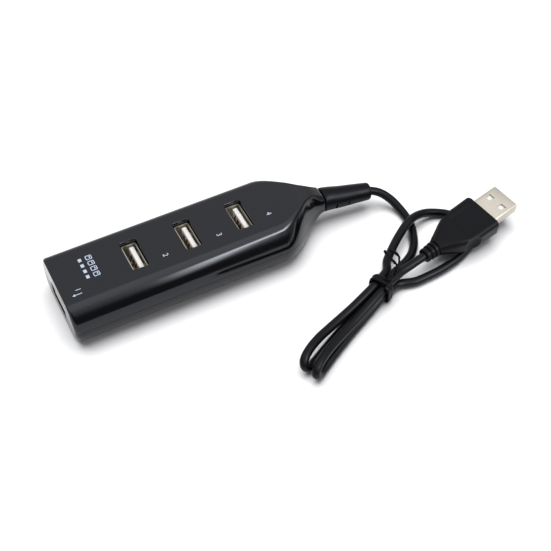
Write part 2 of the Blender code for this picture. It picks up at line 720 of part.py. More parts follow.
def tie_route():
    first_end = [(114.5, -32.6, 9.1), (114.2, -35.4, 9.4), (114.2, -38.6, 9.6)]
    twist_down = twisted_tail((114.9, -41.6, 9.6), (108.6, -46.6, 9.9), 0.0, 6)
    turns = []
    corners = ((0.9, 9.3), (2.6, 7.6), (2.75, 4.6), (2.4, 1.2), (-0.2, 0.64), (-3.6, 0.64), (-6.2, 1.2),
               (-6.5, 4.6), (-6.3, 7.6), (-4.2, 9.2), (-1.8, 9.4))
    for turn in range(2):
        for i, (side, height) in enumerate(corners):
            run = -1.2 - 1.35 * (turn + i / len(corners))
            turns.append(hank(run, side, height))
    twist_up = list(reversed(twisted_tail((114.9, -41.6, 9.6), (108.6, -46.6, 9.9), math.pi, 6)))
    second_end = [(116.6, -39.8, 9.6), (117.6, -37.6, 9.5), (117.2, -35.0, 9.4), (116.2, -33.2, 9.3)]
    return first_end + twist_down + turns + twist_up + second_end


def twisted_tail(start, end, phase, count):
    """Points of one of two wires twisted round each other between start and end."""
    start = Vector(start)
    end = Vector(end)
    run = (end - start).normalized()
    across = run.cross(Vector((0, 0, 1))).normalized()
    up = across.cross(run).normalized()
    points = []
    for i in range(count):
        turn = phase + math.pi * 0.75 * i
        middle = start.lerp(end, i / (count - 1))
        points.append(middle + (across * math.cos(turn) + up * math.sin(turn)) * 0.85)
    return points


# ---------------------------------------------------------------- the plug

GRIP_STATIONS = ((-31.0, 2.7, 2.7), (-30.6, 3.0, 3.0), (-25.0, 3.45, 3.3), (-23.6, 4.0, 3.4), (-20.6, 5.3, 3.55),
                 (-17.2, 6.8, 3.65), (-14.0, 7.9, 3.7), (-11.5, 8.3, 3.7), (-6.0, 8.4, 3.7), (-1.2, 8.5, 3.7),
                 (-0.35, 8.35, 3.55), (0.0, 8.0, 3.2))


def make_plug_grip(mat):
    """The moulded grip: a flat block which narrows to a ribbed sleeve on the lead."""
    place = plug_frame()
    bm = bmesh.new()
    rings = []
    for a, half_wide, half_tall in GRIP_STATIONS:
        corner = min(half_wide, half_tall) - 0.02 if a < -24 else 1.8 + 1.5 * (1 - ease(a, -24, -15))
        outline = rounded_rectangle(half_wide, half_tall, min(corner, half_tall - 0.02), 4)
        rings.append([bm.verts.new(place @ Vector((a, y, z))) for y, z in outline])
    bridge_rings(bm, rings)
    grip = finish_mesh("plug_grip", bm, mat)
    cutter = bmesh.new()
    half_long = PLUG_SHELL_LONG / 2 + GAP
    half_thick = PLUG_SHELL_THICK / 2 + GAP
    add_box(cutter, (-5.0, -half_long, -half_thick), (2.0, half_long, half_thick), place)
    along = place @ Matrix.Translation((-29.0, 0, 0)) @ Matrix.Rotation(math.pi / 2, 4, "Y")
    add_cylinder(cutter, (0, 0, 0), BORE_RADIUS, 8.0, sides=16, place=along)
    cut(grip, finish_mesh("grip_pockets", cutter, None))
    for i, a in enumerate((-29.2, -27.4, -25.6)):
        groove = bmesh.new()
        add_groove(groove, a, place)
        cut(grip, finish_mesh(f"grip_groove_{i}", groove, None))
    panel = bmesh.new()
    add_box(panel, (-15.0, -5.3, 3.4), (-2.2, 5.3, 5.0), place)
    cut(grip, finish_mesh("grip_panel", panel, None))
    return grip


def add_groove(bm, a, place):
    """A ring that cuts a groove round the grip's sleeve."""
    inner = 2.55
    rings = []
    for along, radius in ((-0.35, inner), (-0.35, 5.0), (0.35, 5.0), (0.35, inner)):
        ring = []
        for i in range(20):
            turn = 2 * math.pi * i / 20
            spot = Vector((a + along, radius * math.cos(turn), radius * math.sin(turn)))
            ring.append(bm.verts.new(place @ spot))
        rings.append(ring)
    bridge_rings(bm, rings + [rings[0]], closed_ends=False)


def make_plug_shell(mat):
    """The folded steel sleeve with two square windows in its top and two in its bottom."""
    place = plug_frame()
    bm = bmesh.new()
    turn = place @ Matrix.Rotation(math.pi / 2, 4, "Y") @ Matrix.Rotation(math.pi / 2, 4, "Z")
    long = PLUG_SHELL_LONG / 2
    thick = PLUG_SHELL_THICK / 2
    add_rounded_bar(bm, long, thick, 0.6, -4.7, PLUG_SHELL_REACH, turn)
    shell = finish_mesh("plug_shell", bm, mat)
    cutter = bmesh.new()
    add_rounded_bar(cutter, long - SHELL_WALL, thick - SHELL_WALL, 0.35, -6.0, PLUG_SHELL_REACH + 1, turn)
    cut(shell, finish_mesh("plug_hollow", cutter, None))
    windows = bmesh.new()
    for side in (-1, 1):
        y = side * 3.0
        add_box(windows, (5.3, y - 1.25, -4), (7.8, y + 1.25, 4), place)
    cut(shell, finish_mesh("plug_windows", windows, None))
    return shell


def make_plug_tongue(mat):
    """The insulator lies against the side with the windows, and its contacts face down."""
    place = plug_frame() @ Matrix.Rotation(math.pi, 4, "X")
    bm = bmesh.new()
    half = PLUG_SHELL_LONG / 2 - SHELL_WALL - GAP
    base = -PLUG_SHELL_THICK / 2 + SHELL_WALL + GAP
    add_box(bm, (-4.6, -half, base), (11.4, half, base + 1.5), place)
    return finish_mesh("plug_tongue", bm, mat, smooth=False)


def make_plug_contacts(mat):
    place = plug_frame() @ Matrix.Rotation(math.pi, 4, "X")
    base = -PLUG_SHELL_THICK / 2 + SHELL_WALL + GAP + 1.5 + GAP
    for i, (y, reach) in enumerate(zip(CONTACT_PLACES, (10.6, 9.6, 9.6, 10.6))):
        bm = bmesh.new()
        add_box(bm, (-4.0, y - 0.5, base), (reach, y + 0.5, base + 0.2), place)
        finish_mesh(f"plug_contact_{i + 1}", bm, mat, smooth=False)


# ---------------------------------------------------------------- everything

def centre():
    """Move the hub so that the middle of its own box, without the lead, is over the origin."""
    axis = smooth_route(RELIEF_AXIS, 0.8)
    reach = 0.0
    for x, radius in RELIEF_OUTSIDE:
        run = axis_at(axis, x)[1]
        reach = max(reach, x + radius * math.sqrt(1 - run.x ** 2))
    anchor = bpy.data.objects.new("hub_anchor", None)
    bpy.context.scene.collection.objects.link(anchor)
    for thing in list(bpy.data.objects):
        if thing is not anchor:
            thing.parent = anchor
    anchor.location.x = -(reach / 2) * MM


def build():
    clear_scene()
    black = material("case plastic", (0.012, 0.012, 0.013), 0.25)
    rubber = material("soft black plastic", (0.015, 0.015, 0.016), 0.5)
    steel = material("nickel plated steel", (0.75, 0.74, 0.71), 0.3, 1.0)
    white = material("white insulator", (0.85, 0.85, 0.83), 0.5)
    brass = material("gold plated contact", (0.85, 0.65, 0.3), 0.3, 1.0)
    green = material("board", (0.03, 0.22, 0.09), 0.45)
    resin = material("chip resin", (0.02, 0.02, 0.02), 0.6)
    make_top_shell(black)
    make_bottom_shell(black)
    for number in (1, *STANDING_PORTS):
        make_port_shell(number, steel)
        make_port_tongue(number, white)
        make_port_contacts(number, brass)
    make_port_pedestal(white)
    make_board(green)
    make_controller(resin)
    make_crystal(steel)
    make_bulk_capacitor(material("capacitor sleeve", (0.03, 0.03, 0.06), 0.4))
    make_small_parts("ceramic_capacitor", ((36.5, -8.8), (57.5, -8.8), (57.5, 8.8), (76.5, -8.0)), (0.9, 1.7, 0.9),
                     material("ceramic", (0.5, 0.36, 0.22), 0.5))
    make_small_parts("resistor", ((43.5, -8.6), (43.5, 8.6), (64.8, -8.6), (76.5, -4.6)), (0.9, 1.6, 0.5),
                     material("resistor", (0.03, 0.03, 0.035), 0.5))
    core_colours = {"red": (0.5, 0.02, 0.02), "black": (0.02, 0.02, 0.02),
                    "green": (0.03, 0.3, 0.06), "white": (0.8, 0.8, 0.8)}
    make_wires({name: material("core " + name, colour, 0.4) for name, colour in core_colours.items()})
    make_strain_relief(rubber)
    make_lead(rubber)
    make_twist_tie(rubber)
    make_plug_grip(rubber)
    make_plug_shell(steel)
    make_plug_tongue(white)
    make_plug_contacts(brass)
    centre()


build()
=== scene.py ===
"""The looks of a four-port desktop hub with its folded, tied lead and plug.

Pieces are modelled in millimetres with X = 0 on the end face that holds port 1, +X towards
the lead, +Z up and Z = 0 on the table. place_mesh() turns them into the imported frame's metres.
"""
import json
import math

import bmesh
import bpy
from mathutils import Matrix, Vector


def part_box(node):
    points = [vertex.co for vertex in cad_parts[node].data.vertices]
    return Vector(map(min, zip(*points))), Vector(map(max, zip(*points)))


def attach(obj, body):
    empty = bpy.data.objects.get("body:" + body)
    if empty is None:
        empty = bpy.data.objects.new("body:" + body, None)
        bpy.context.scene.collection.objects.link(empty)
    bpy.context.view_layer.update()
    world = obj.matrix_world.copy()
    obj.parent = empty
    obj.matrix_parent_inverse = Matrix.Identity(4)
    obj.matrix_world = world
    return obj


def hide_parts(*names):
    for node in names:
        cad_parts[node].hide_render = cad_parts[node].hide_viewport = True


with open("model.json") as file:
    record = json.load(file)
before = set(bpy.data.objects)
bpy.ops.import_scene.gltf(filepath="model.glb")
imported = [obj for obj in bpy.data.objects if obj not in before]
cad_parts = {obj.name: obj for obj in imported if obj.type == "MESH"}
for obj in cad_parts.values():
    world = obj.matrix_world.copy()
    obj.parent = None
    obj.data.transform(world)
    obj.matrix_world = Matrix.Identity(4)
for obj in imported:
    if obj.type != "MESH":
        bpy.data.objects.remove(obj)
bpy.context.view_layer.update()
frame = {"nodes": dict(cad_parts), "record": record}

MM = 0.001
END_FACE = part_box("top_shell")[0].x          # where X = 0 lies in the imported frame
TO_FRAME = Matrix.Translation((END_FACE, 0, 0)) @ Matrix.Scale(MM, 4)

# the case
CASE_LENGTH = 105.2
CASE_HALF_WIDTH = 17.8
CASE_HEIGHT = 18.8
WIDEST_AT = 8.6
JOINT_HEIGHT = 9.6
NECK_RADIUS = 4.6
TOP_FLAT = 11.1
TOP_ROUNDING = 3.6
TOP_ROUNDING_TURN = 52
BOTTOM_FLAT = 9.4
SIDE_SHARE = 0.885                            # how much of the side's curve is above the joint
END_EDGE_TOP = 0.6                            # the end face's edge: its radius along the top,
END_EDGE_SIDE = 1.8                           # and how much more it is down the sides
TOP_DROPS = (98.6, 108.4)                     # where the top comes down to the neck
BOTTOM_RISES = (96.5, 104.2)
TURNS_ROUND = (93, 103)                       # where the section becomes an oval
NARROWS_FROM = (82.7, 0.54)                   # at the table, and how much sooner at the top
NARROWS_TO = (107.6, 4.9)
MOUTH_EDGE = 0.6                              # the rounding of the neck's mouth
WALL = 1.8
CAVITY_END = 95.5
NECK_BORE = 3.2
SEAM = 0.05                                   # half the line between the two halves
POST_PLACES = ((21.0, 9.6), (21.0, -9.6), (81.0, 9.6), (81.0, -9.6))
POST_STAGES = ((0.8, 1.9), (3.1, 1.9), (3.2, 1.8), (3.2, 0.9), (6.1, 0.9), (6.3, 0.65))
RIB_PLACES = (25.0, 78.0)
RIB_SIDE = 15.0
HOOK_PLACES = (16.0, 45.0, 71.0)
HOOK_SIDE = 12.7

# the ports
PORT_FIRST = 29.9
PORT_PITCH = 20.7
STANDING_PORTS = (2, 3, 4)
SHELL_LONG = 13.1
SHELL_THICK = 5.7
SHELL_WALL = 0.4
CUTOUT_CLEARANCE = 0.25
CUTOUT_ROUNDING = 0.35
CUTOUT_CORNER = 0.8
CUTOUT_DEPTH = 6.8
STANDING_PORT_TOP = 17.2
PORT_DEPTH = 11.8
END_PORT_FACE = 0.5
LEAF_PLACES = (-3.1, 3.1)
LEAF_SLOTS = (-1.35, 1.35)                    # beside each leaf
LEAF_SLOT_HALF = 0.2

# the lead, the tie and the plug
CABLE_RADIUS = 1.65
HANK_CORNER = Vector((105.1, -47.2, 0.0))
HANK_RUN = Vector((-0.8926, -0.4508, 0.0))
HANK_SIDE = Vector((0.4508, -0.8926, 0.0))
PLUG_ORIGIN = Vector((157.3, -33.4, 8.0))
PLUG_ALONG = Vector((0.9755, 0.2178, 0.0323))
PLUG_ACROSS = Vector((-0.2196, 0.9729, 0.0721))
PLUG_SHELL_LONG = 12.0
PLUG_SHELL_THICK = 4.5
PLUG_SHELL_REACH = 12.0
PLUG_SHELL_ROOT = -4.7
PLUG_SHELL_WALL = 0.35
PLUG_WINDOW = (5.3, 7.8)
PLUG_WINDOW_SIDE = 3.0
PLUG_WINDOW_HALF = 1.25
RELIEF_AXIS = (
    (92.6, 0, 9.6), (98, 0, 9.6), (103, 0, 9.6), (106.2, 0, 9.6), (109.4, -0.35, 9.25),
    (112.6, -0.85, 8.8), (119, -1.6, 8.1), (125.4, -2.4, 7.4))


# ---------------------------------------------------------------- camera and light

CAMERA_LENS = 71.74
CAMERA_SENSOR = 36.0
CAMERA_SPOT = Vector((-37.247, -249.471, 316.237))
CAMERA_RIGHT = Vector((0.89206, -0.45184, -0.00845))
CAMERA_UP = Vector((0.35493, 0.68891, 0.63200))


def make_camera():
    """The camera over the near side of the table, looking down on the hub."""
    data = bpy.data.cameras.new("camera")
    data.lens = CAMERA_LENS
    data.sensor_width = CAMERA_SENSOR
    camera = bpy.data.objects.new("camera", data)
    bpy.context.scene.collection.objects.link(camera)
    back = CAMERA_RIGHT.cross(CAMERA_UP).normalized()
    up = back.cross(CAMERA_RIGHT).normalized()
    turn = Matrix((CAMERA_RIGHT.normalized(), up, back)).transposed().to_4x4()
    camera.matrix_world = Matrix.Translation(TO_FRAME @ CAMERA_SPOT) @ turn
    bpy.context.scene.camera = camera


SOFTBOX_POWER = 21.0
SOFTBOX_SPREAD = 60                            # degrees
SOFTBOX_FROM = Vector((0.0, 0.17, 0.98))


def add_overhead_softbox(floor):
    """A large softbox over the table. It lights only the floor: the world does the rest."""
    data = bpy.data.lights.new("overhead softbox", "SUN")
    data.energy = SOFTBOX_POWER
    data.angle = math.radians(SOFTBOX_SPREAD)
    light = bpy.data.objects.new("overhead softbox", data)
    bpy.context.scene.collection.objects.link(light)
    light.matrix_world = SOFTBOX_FROM.to_track_quat("Z", "Y").to_matrix().to_4x4()
    receivers = bpy.data.collections.new("lit by the softbox")
    receivers.objects.link(floor)
    light.light_linking.receiver_collection = receivers


# The room's brightness by the turn of a direction, from the table's far side (0) over the top
# (0.5) to its near side (1).
ROOM_STOPS = ((0.0, 0.85), (0.22, 0.85), (0.265, 0.88), (0.295, 0.95), (0.34, 1.45), (0.44, 1.75),
              (0.68, 1.6), (0.80, 1.2), (0.868, 0.9), (0.91, 0.1), (1.0, 0.08))
ROOM_AWAY = (0.17, 0.985, 0.0)                 # to the far side
ROOM_ENDS = 0.4                                # the brightness past the hub's two ends
ROOM_TINT = (0.97, 0.98, 1.0, 1)
ROOM_POWER = 1.08
WINDOW_POWER = 17.0
WINDOW_LEAN = 0.24                             # how much its far end rises


def make_world():
    """A white room, bright overhead and dark low down on the near side, with one hot window.

    The window is a soft-edged patch of the near side, to the right of the hub.
    """
    world = bpy.data.worlds.new("studio")
    bpy.context.scene.world = world
    world.use_nodes = True
    tree = world.node_tree
    coords = tree.nodes.new("ShaderNodeTexCoord")
    axes = tree.nodes.new("ShaderNodeSeparateXYZ")
    tree.links.new(coords.outputs["Generated"], axes.inputs["Vector"])
    away = tree.nodes.new("ShaderNodeVectorMath")
    away.operation = "DOT_PRODUCT"
    away.inputs[1].default_value = ROOM_AWAY
    tree.links.new(coords.outputs["Generated"], away.inputs[0])
    turn = math_node(tree, "ARCTAN2", axes.outputs["Z"], away.outputs["Value"])
    share = math_node(tree, "DIVIDE", turn, math.pi)
    room = tree.nodes.new("ShaderNodeValToRGB")
    while len(room.color_ramp.elements) < len(ROOM_STOPS):
        room.color_ramp.elements.new(0.5)
    for element, (at, value) in zip(room.color_ramp.elements, ROOM_STOPS):
        element.position = at
        half = value / 2                       # a ramp's colours stay below 1
        element.color = (half, half, half * 1.06, 1)
    tree.links.new(share, room.inputs["Fac"])
    left = smooth_step(tree, axes.outputs["X"], 0.175, 0.265)
    right = smooth_step(tree, axes.outputs["X"], 0.85, 0.4)
    lean = math_node(tree, "MULTIPLY", smooth_step(tree, axes.outputs["X"], 0.18, 0.36), WINDOW_LEAN)
    height = math_node(tree, "SUBTRACT", axes.outputs["Z"], lean)
    bottom = smooth_step(tree, height, 0.22, 0.36)
    top = smooth_step(tree, height, 0.60, 0.36)
    near = smooth_step(tree, axes.outputs["Y"], -0.05, -0.4)
    window = left
    for limit in (right, bottom, top, near):
        window = math_node(tree, "MULTIPLY", window, limit)
    sideways = math_node(tree, "ABSOLUTE", axes.outputs["X"], 0)
    ends = smooth_step(tree, sideways, 0.5, 0.85)
    middle = math_node(tree, "SUBTRACT", 2.0, math_node(tree, "MULTIPLY", ends, 2.0))
    walls = math_node(tree, "MULTIPLY", room.outputs["Color"], middle)
    walls = math_node(tree, "ADD", walls, math_node(tree, "MULTIPLY", ends, ROOM_ENDS))
    total = math_node(tree, "ADD", walls, math_node(tree, "MULTIPLY", window, WINDOW_POWER))
    background = tree.nodes["Background"]
    tree.links.new(math_node(tree, "MULTIPLY", total, ROOM_POWER), background.inputs["Strength"])
    background.inputs["Color"].default_value = ROOM_TINT


def math_node(tree, operation, first, second):
    """The result of a Math node on two inputs, each a number or another node's output."""
    node = tree.nodes.new("ShaderNodeMath")
    node.operation = operation
    for slot, value in zip(node.inputs, (first, second)):
        if isinstance(value, (int, float)):
            slot.default_value = value
        else:
            tree.links.new(value, slot)
    return node.outputs["Value"]


def smooth_step(tree, value, start, end):
    """0 at start and 1 at end, whichever of the two is larger, with soft ends."""
    node = tree.nodes.new("ShaderNodeMapRange")
    node.interpolation_type = "SMOOTHSTEP"
    node.inputs["From Min"].default_value = min(start, end)
    node.inputs["From Max"].default_value = max(start, end)
    node.inputs["To Min"].default_value = 0.0 if start < end else 1.0
    node.inputs["To Max"].default_value = 1.0 if start < end else 0.0
    tree.links.new(value, node.inputs["Value"])
    return node.outputs["Result"]


FLOOR_HALF = 4.0
FLOOR_BELOW = 0.0002                           # keeps it clear of the hub's flat base


def make_stage():
    """A plain pale floor and the softbox over it."""
    bm = bmesh.new()
    bmesh.ops.create_grid(bm, x_segments=1, y_segments=1, size=FLOOR_HALF)
    mesh = bpy.data.meshes.new("floor")
    bm.to_mesh(mesh)
    bm.free()
    floor = bpy.data.objects.new("floor", mesh)
    bpy.context.scene.collection.objects.link(floor)
    floor.location = (0, 0, -FLOOR_BELOW)
    mesh.materials.append(plain_material("floor", (0.15, 0.15, 0.151), (0.55, 0.65), 60, 0.0, 0.004,
                                         specular=0.1))
    add_overhead_softbox(floor)


# ---------------------------------------------------------------- materials

SHEEN_TINT = (0.9, 0.92, 1.0, 1.0)             # what isn't metal reflects a little blue
CASE_BLACK = (0.0012, 0.0012, 0.0015)
GRAIN_FINER = 22                               # than the clouds in the roughness


def plain_material(name, colour, roughness, scale, bump, vary, metallic=0.0, stretch=(1, 1, 1),
                   specular=0.5):
    """Cloudy roughness, a fine grain and a slight drift of colour, all in the piece's own space.

    roughness is a range, scale is the clouds' (per metre), bump is in millimetres, and vary is
    the drift's share of the colour.
    """
    mat = bpy.data.materials.new(name)
    mat.use_nodes = True
    tree = mat.node_tree
    shader = tree.nodes["Principled BSDF"]
    shader.inputs["Metallic"].default_value = metallic
    shader.inputs["Specular IOR Level"].default_value = specular
    if not metallic:
        shader.inputs["Specular Tint"].default_value = SHEEN_TINT
    coords = tree.nodes.new("ShaderNodeTexCoord")
    mapping = tree.nodes.new("ShaderNodeMapping")
    mapping.inputs["Scale"].default_value = stretch
    tree.links.new(coords.outputs["Object"], mapping.inputs["Vector"])
    clouds = add_noise(tree, mapping, scale, 4)
    grain = add_noise(tree, mapping, scale * GRAIN_FINER, 2)
    cloudy = map_range(tree, clouds.outputs["Fac"], (0.3, 0.7), roughness)
    tree.links.new(cloudy, shader.inputs["Roughness"])
    mix = tree.nodes.new("ShaderNodeMix")
    mix.data_type = "RGBA"
    mix.inputs["A"].default_value = (*[max(c * (1 - vary * 4), 0) for c in colour], 1)
    mix.inputs["B"].default_value = (*[min(c * (1 + vary * 4), 1) for c in colour], 1)
    tree.links.new(grain.outputs["Fac"], mix.inputs["Factor"])
    tree.links.new(mix.outputs["Result"], shader.inputs["Base Color"])
    if bump:
        dent = tree.nodes.new("ShaderNodeBump")
        dent.inputs["Strength"].default_value = 1.0
        dent.inputs["Distance"].default_value = bump * MM
        tree.links.new(grain.outputs["Fac"], dent.inputs["Height"])
        tree.links.new(dent.outputs["Normal"], shader.inputs["Normal"])
    return mat


def add_noise(tree, mapping, scale, detail):
    noise = tree.nodes.new("ShaderNodeTexNoise")
    noise.inputs["Scale"].default_value = scale
    noise.inputs["Detail"].default_value = detail
    tree.links.new(mapping.outputs["Vector"], noise.inputs["Vector"])
    return noise


def map_range(tree, value, given, wanted):
    node = tree.nodes.new("ShaderNodeMapRange")
    for name, number in zip(("From Min", "From Max", "To Min", "To Max"), (*given, *wanted)):
        node.inputs[name].default_value = number
    tree.links.new(value, node.inputs["Value"])
    return node.outputs["Result"]


def board_material():
    """Green solder mask over fine copper tracks."""
    mat = plain_material("circuit board", (0.02, 0.16, 0.07), (0.3, 0.45), 90, 0.004, 0.05)
    tree = mat.node_tree
    shader = tree.nodes["Principled BSDF"]
    base = shader.inputs["Base Color"].links[0].from_socket
    tracks = tree.nodes.new("ShaderNodeTexBrick")
    tracks.inputs["Scale"].default_value = 160
    tracks.inputs["Mortar Size"].default_value = 0.05
    tracks.inputs["Color1"].default_value = (0, 0, 0, 1)
    tracks.inputs["Color2"].default_value = (0.15, 0.15, 0.15, 1)
    tracks.inputs["Mortar"].default_value = (1, 1, 1, 1)
    tree.links.new(tree.nodes["Texture Coordinate"].outputs["Object"], tracks.inputs["Vector"])
    mix = tree.nodes.new("ShaderNodeMix")
    mix.data_type = "RGBA"
    tree.links.new(tracks.outputs["Color"], mix.inputs["Factor"])
    tree.links.new(base, mix.inputs["A"])
    mix.inputs["B"].default_value = (0.06, 0.3, 0.12, 1)
    tree.links.new(mix.outputs["Result"], shader.inputs["Base Color"])
    return mat


def make_materials():
    """A material for each slot of the record, and one for the lower half of the case: the same
    plastic with a dimmer reflection, which is painted shade.
    """
    return {
        "case_plastic": plain_material(
            "glossy black plastic", CASE_BLACK, (0.08, 0.12), 30, 0.0002, 0.04, specular=0.46),
        # The same plastic as above, with more roughness and a dimmer reflection (specular 0.3 against
        # 0.46). The dimmer reflection is painted shade on the case's lower half.
        "case_plastic_lower_painted_shade": plain_material(
            "glossy black plastic, lower half", CASE_BLACK, (0.18, 0.25), 30, 0.0002, 0.04,
            specular=0.3),
        "soft_plastic": plain_material(
            "soft black plastic", (0.0018, 0.0018, 0.0024), (0.3, 0.4), 120, 0.006, 0.05,
            specular=0.12),
        "cable_sheath": plain_material(
            "cable sheath", (0.0018, 0.0018, 0.0021), (0.26, 0.36), 100, 0.004, 0.05,
            specular=0.16),
        "tie_plastic": plain_material(
            "tie plastic", (0.0018, 0.0018, 0.0019), (0.35, 0.5), 140, 0.006, 0.05,
            specular=0.12),
        "plated_steel": plain_material(
            "nickel plated steel", (0.52, 0.48, 0.41), (0.26, 0.4), 150, 0.002, 0.02, 1.0,
            (1, 1, 6)),
        "insulator": plain_material(
            "white insulator", (0.62, 0.6, 0.57), (0.35, 0.5), 120, 0.003, 0.01),
        "contact_metal": plain_material(
            "gold plated contact", (0.5, 0.33, 0.13), (0.2, 0.35), 160, 0.002, 0.03, 1.0),
        "board": board_material(),
        "chip_resin": plain_material(
            "chip resin", (0.02, 0.02, 0.021), (0.45, 0.6), 200, 0.01, 0.05),
        "capacitor_sleeve": plain_material(
            "capacitor sleeve", (0.02, 0.02, 0.045), (0.25, 0.4), 150, 0.003, 0.04),
        "ceramic": plain_material(
            "ceramic", (0.48, 0.35, 0.22), (0.4, 0.55), 260, 0.004, 0.05),
        "core_red": plain_material(
            "red core", (0.5, 0.02, 0.02), (0.35, 0.45), 200, 0.003, 0.03),
        "core_white": plain_material(
            "white core", (0.78, 0.78, 0.76), (0.35, 0.45), 200, 0.003, 0.02),
        "core_green": plain_material(
            "green core", (0.03, 0.3, 0.06), (0.35, 0.45), 200, 0.003, 0.03),
        "core_black": plain_material(
            "black core", (0.02, 0.02, 0.02), (0.35, 0.45), 200, 0.003, 0.03),
    }


def dress_cad_nodes(mats):
    """Give every node that stays in sight the material of its slot in the record."""
    for entry in frame["record"]["subparts"]:
        thing = frame["nodes"][entry["node"]]
        thing.data.materials.clear()
        thing.data.materials.append(mats[entry["material_slot"]])


# ---------------------------------------------------------------- mesh helpers

def place_mesh(name, bm, mat, nodes=(), angle=32, weighted=False):
    """Turn a bmesh in millimetres into a piece of the hub, in place of those CAD nodes."""
    bmesh.ops.recalc_face_normals(bm, faces=bm.faces)
    bmesh.ops.transform(bm, matrix=TO_FRAME, verts=bm.verts)
    mesh = bpy.data.meshes.new(name)
    bm.to_mesh(mesh)
    bm.free()
    mesh.shade_smooth()
    mesh.set_sharp_from_angle(angle=math.radians(angle))
    mesh.materials.clear()
    mesh.materials.append(mat)
    thing = bpy.data.objects.new(name, mesh)
    bpy.context.scene.collection.objects.link(thing)
    if weighted:
        change = thing.modifiers.new("weighted normals", "WEIGHTED_NORMAL")
        change.keep_sharp = True
    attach(thing, "root")
    if nodes:
        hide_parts(*nodes)
    return thing


def carve(body, cutters):
    """Take closed cutter meshes (bmesh, millimetres) out of a body and give the mesh back."""
    bmesh.ops.recalc_face_normals(body, faces=body.faces)
    mesh = bpy.data.meshes.new("body")
    body.to_mesh(mesh)
    body.free()
    thing = bpy.data.objects.new("body", mesh)
    bpy.context.scene.collection.objects.link(thing)
    helpers = [thing]
    for cutter in cutters:
        bmesh.ops.recalc_face_normals(cutter, faces=cutter.faces)
        cutter_mesh = bpy.data.meshes.new("cutter")
        cutter.to_mesh(cutter_mesh)
        cutter.free()
        helper = bpy.data.objects.new("cutter", cutter_mesh)
        bpy.context.scene.collection.objects.link(helper)
        helpers.append(helper)
        change = thing.modifiers.new("cut", "BOOLEAN")
        change.operation = "DIFFERENCE"
        change.solver = "EXACT"
        change.object = helper
    bpy.context.view_layer.update()
    graph = bpy.context.evaluated_depsgraph_get()
    result = bmesh.new()
    result.from_mesh(thing.evaluated_get(graph).to_mesh())
    for helper in helpers:
        old = helper.data
        bpy.data.objects.remove(helper, do_unlink=True)
        bpy.data.meshes.remove(old)
    return result


def bridge(bm, rings, ends=True):
    """Faces between rings of vertices, and over the first and last of them."""
    count = len(rings[0])
    for first, second in zip(rings, rings[1:]):
        for i in range(count):
            j = (i + 1) % count
            bm.faces.new((first[i], first[j], second[j], second[i]))
    if ends:
        bm.faces.new(list(reversed(rings[0])))
        bm.faces.new(rings[-1])


def loft(sections, place=Matrix(), ends=True, bm=None):
    """A skin through sections, each a list of points."""
    bm = bm or bmesh.new()
    rings = [[bm.verts.new(place @ Vector(p)) for p in section] for section in sections]
    bridge(bm, rings, ends)
    return bm


def circle_points(radius, sides):
    turns = [math.tau * i / sides for i in range(sides)]
    return [(radius * math.cos(t), radius * math.sin(t)) for t in turns]


def rounding(reach, radius):
    """How far a quarter round falls away at that reach from where it starts."""
    return radius - math.sqrt(max(radius ** 2 - reach ** 2, 0.0))


def rounded_rectangle(half_a, half_b, corner, steps=4):
    points = []
    for quarter in range(4):
        sign_a = 1 if quarter in (0, 3) else -1
        sign_b = 1 if quarter in (0, 1) else -1
        middle = (sign_a * (half_a - corner), sign_b * (half_b - corner))
        for step in range(steps + 1):
            turn = math.pi / 2 * (quarter + step / steps)
            points.append((middle[0] + corner * math.cos(turn), middle[1] + corner * math.sin(turn)))
    return points


def rounded_bar(half_a, half_b, corner, stages, place=Matrix(), steps=5, bm=None):
    """A bar along Z through stages of (height, how far the outline is grown)."""
    sections = []
    for height, grow in stages:
        room = min(half_a, half_b) + grow
        round_by = min(max(corner + grow, 0.05), room * 0.95)
        outline = rounded_rectangle(half_a + grow, half_b + grow, round_by, steps)
        sections.append([(a, b, height) for a, b in outline])
    return loft(sections, place, bm=bm)


def rounded_box(bm, low, high, radius, place=Matrix(), steps=3):
    """A box with every edge rounded."""
    half = [(b - a) / 2 for a, b in zip(low, high)]
    middle = Matrix.Translation([(a + b) / 2 for a, b in zip(low, high)])
    radius = min(radius, *[h * 0.98 for h in half])
    stages = [(-half[2] + radius * (1 - math.cos(t)), -radius * (1 - math.sin(t)))
              for t in [math.pi / 2 * i / steps for i in range(steps + 1)]]
    stages += [(-h, g) for h, g in reversed(stages)]
    return rounded_bar(half[0], half[1], radius, stages, place @ middle, steps, bm)


def ease(x, start, end):
    """0 up to start, 1 from end on, and half a cosine wave between them."""
    u = min(max((x - start) / (end - start), 0.0), 1.0)
    return (1 - math.cos(math.pi * u)) / 2


def table_at(table, x):
    """Smooth values between the rows of a table whose first column rises."""
    last = len(table) - 1
    i = max(k for k in range(last) if table[k][0] <= x or k == 0)
    a, b = table[i], table[i + 1]
    before, after = table[max(i - 1, 0)], table[min(i + 2, last)]
    span = b[0] - a[0]
    t = min(max((x - a[0]) / span, 0.0), 1.0)
    values = []
    for k in range(1, len(a)):
        step = (b[k] - a[k]) / span
        left = (a[k] - before[k]) / (a[0] - before[0]) if i else step
        right = (after[k] - b[k]) / (after[0] - b[0]) if i + 2 <= last else step
        slope_a = 0 if left * step <= 0 else 2 * left * step / (left + step)
        slope_b = 0 if right * step <= 0 else 2 * right * step / (right + step)
        values.append(a[k] * (1 + 2 * t) * (1 - t) ** 2 + slope_a * span * t * (1 - t) ** 2
                      + b[k] * t * t * (3 - 2 * t) + slope_b * span * t * t * (t - 1))
    return values


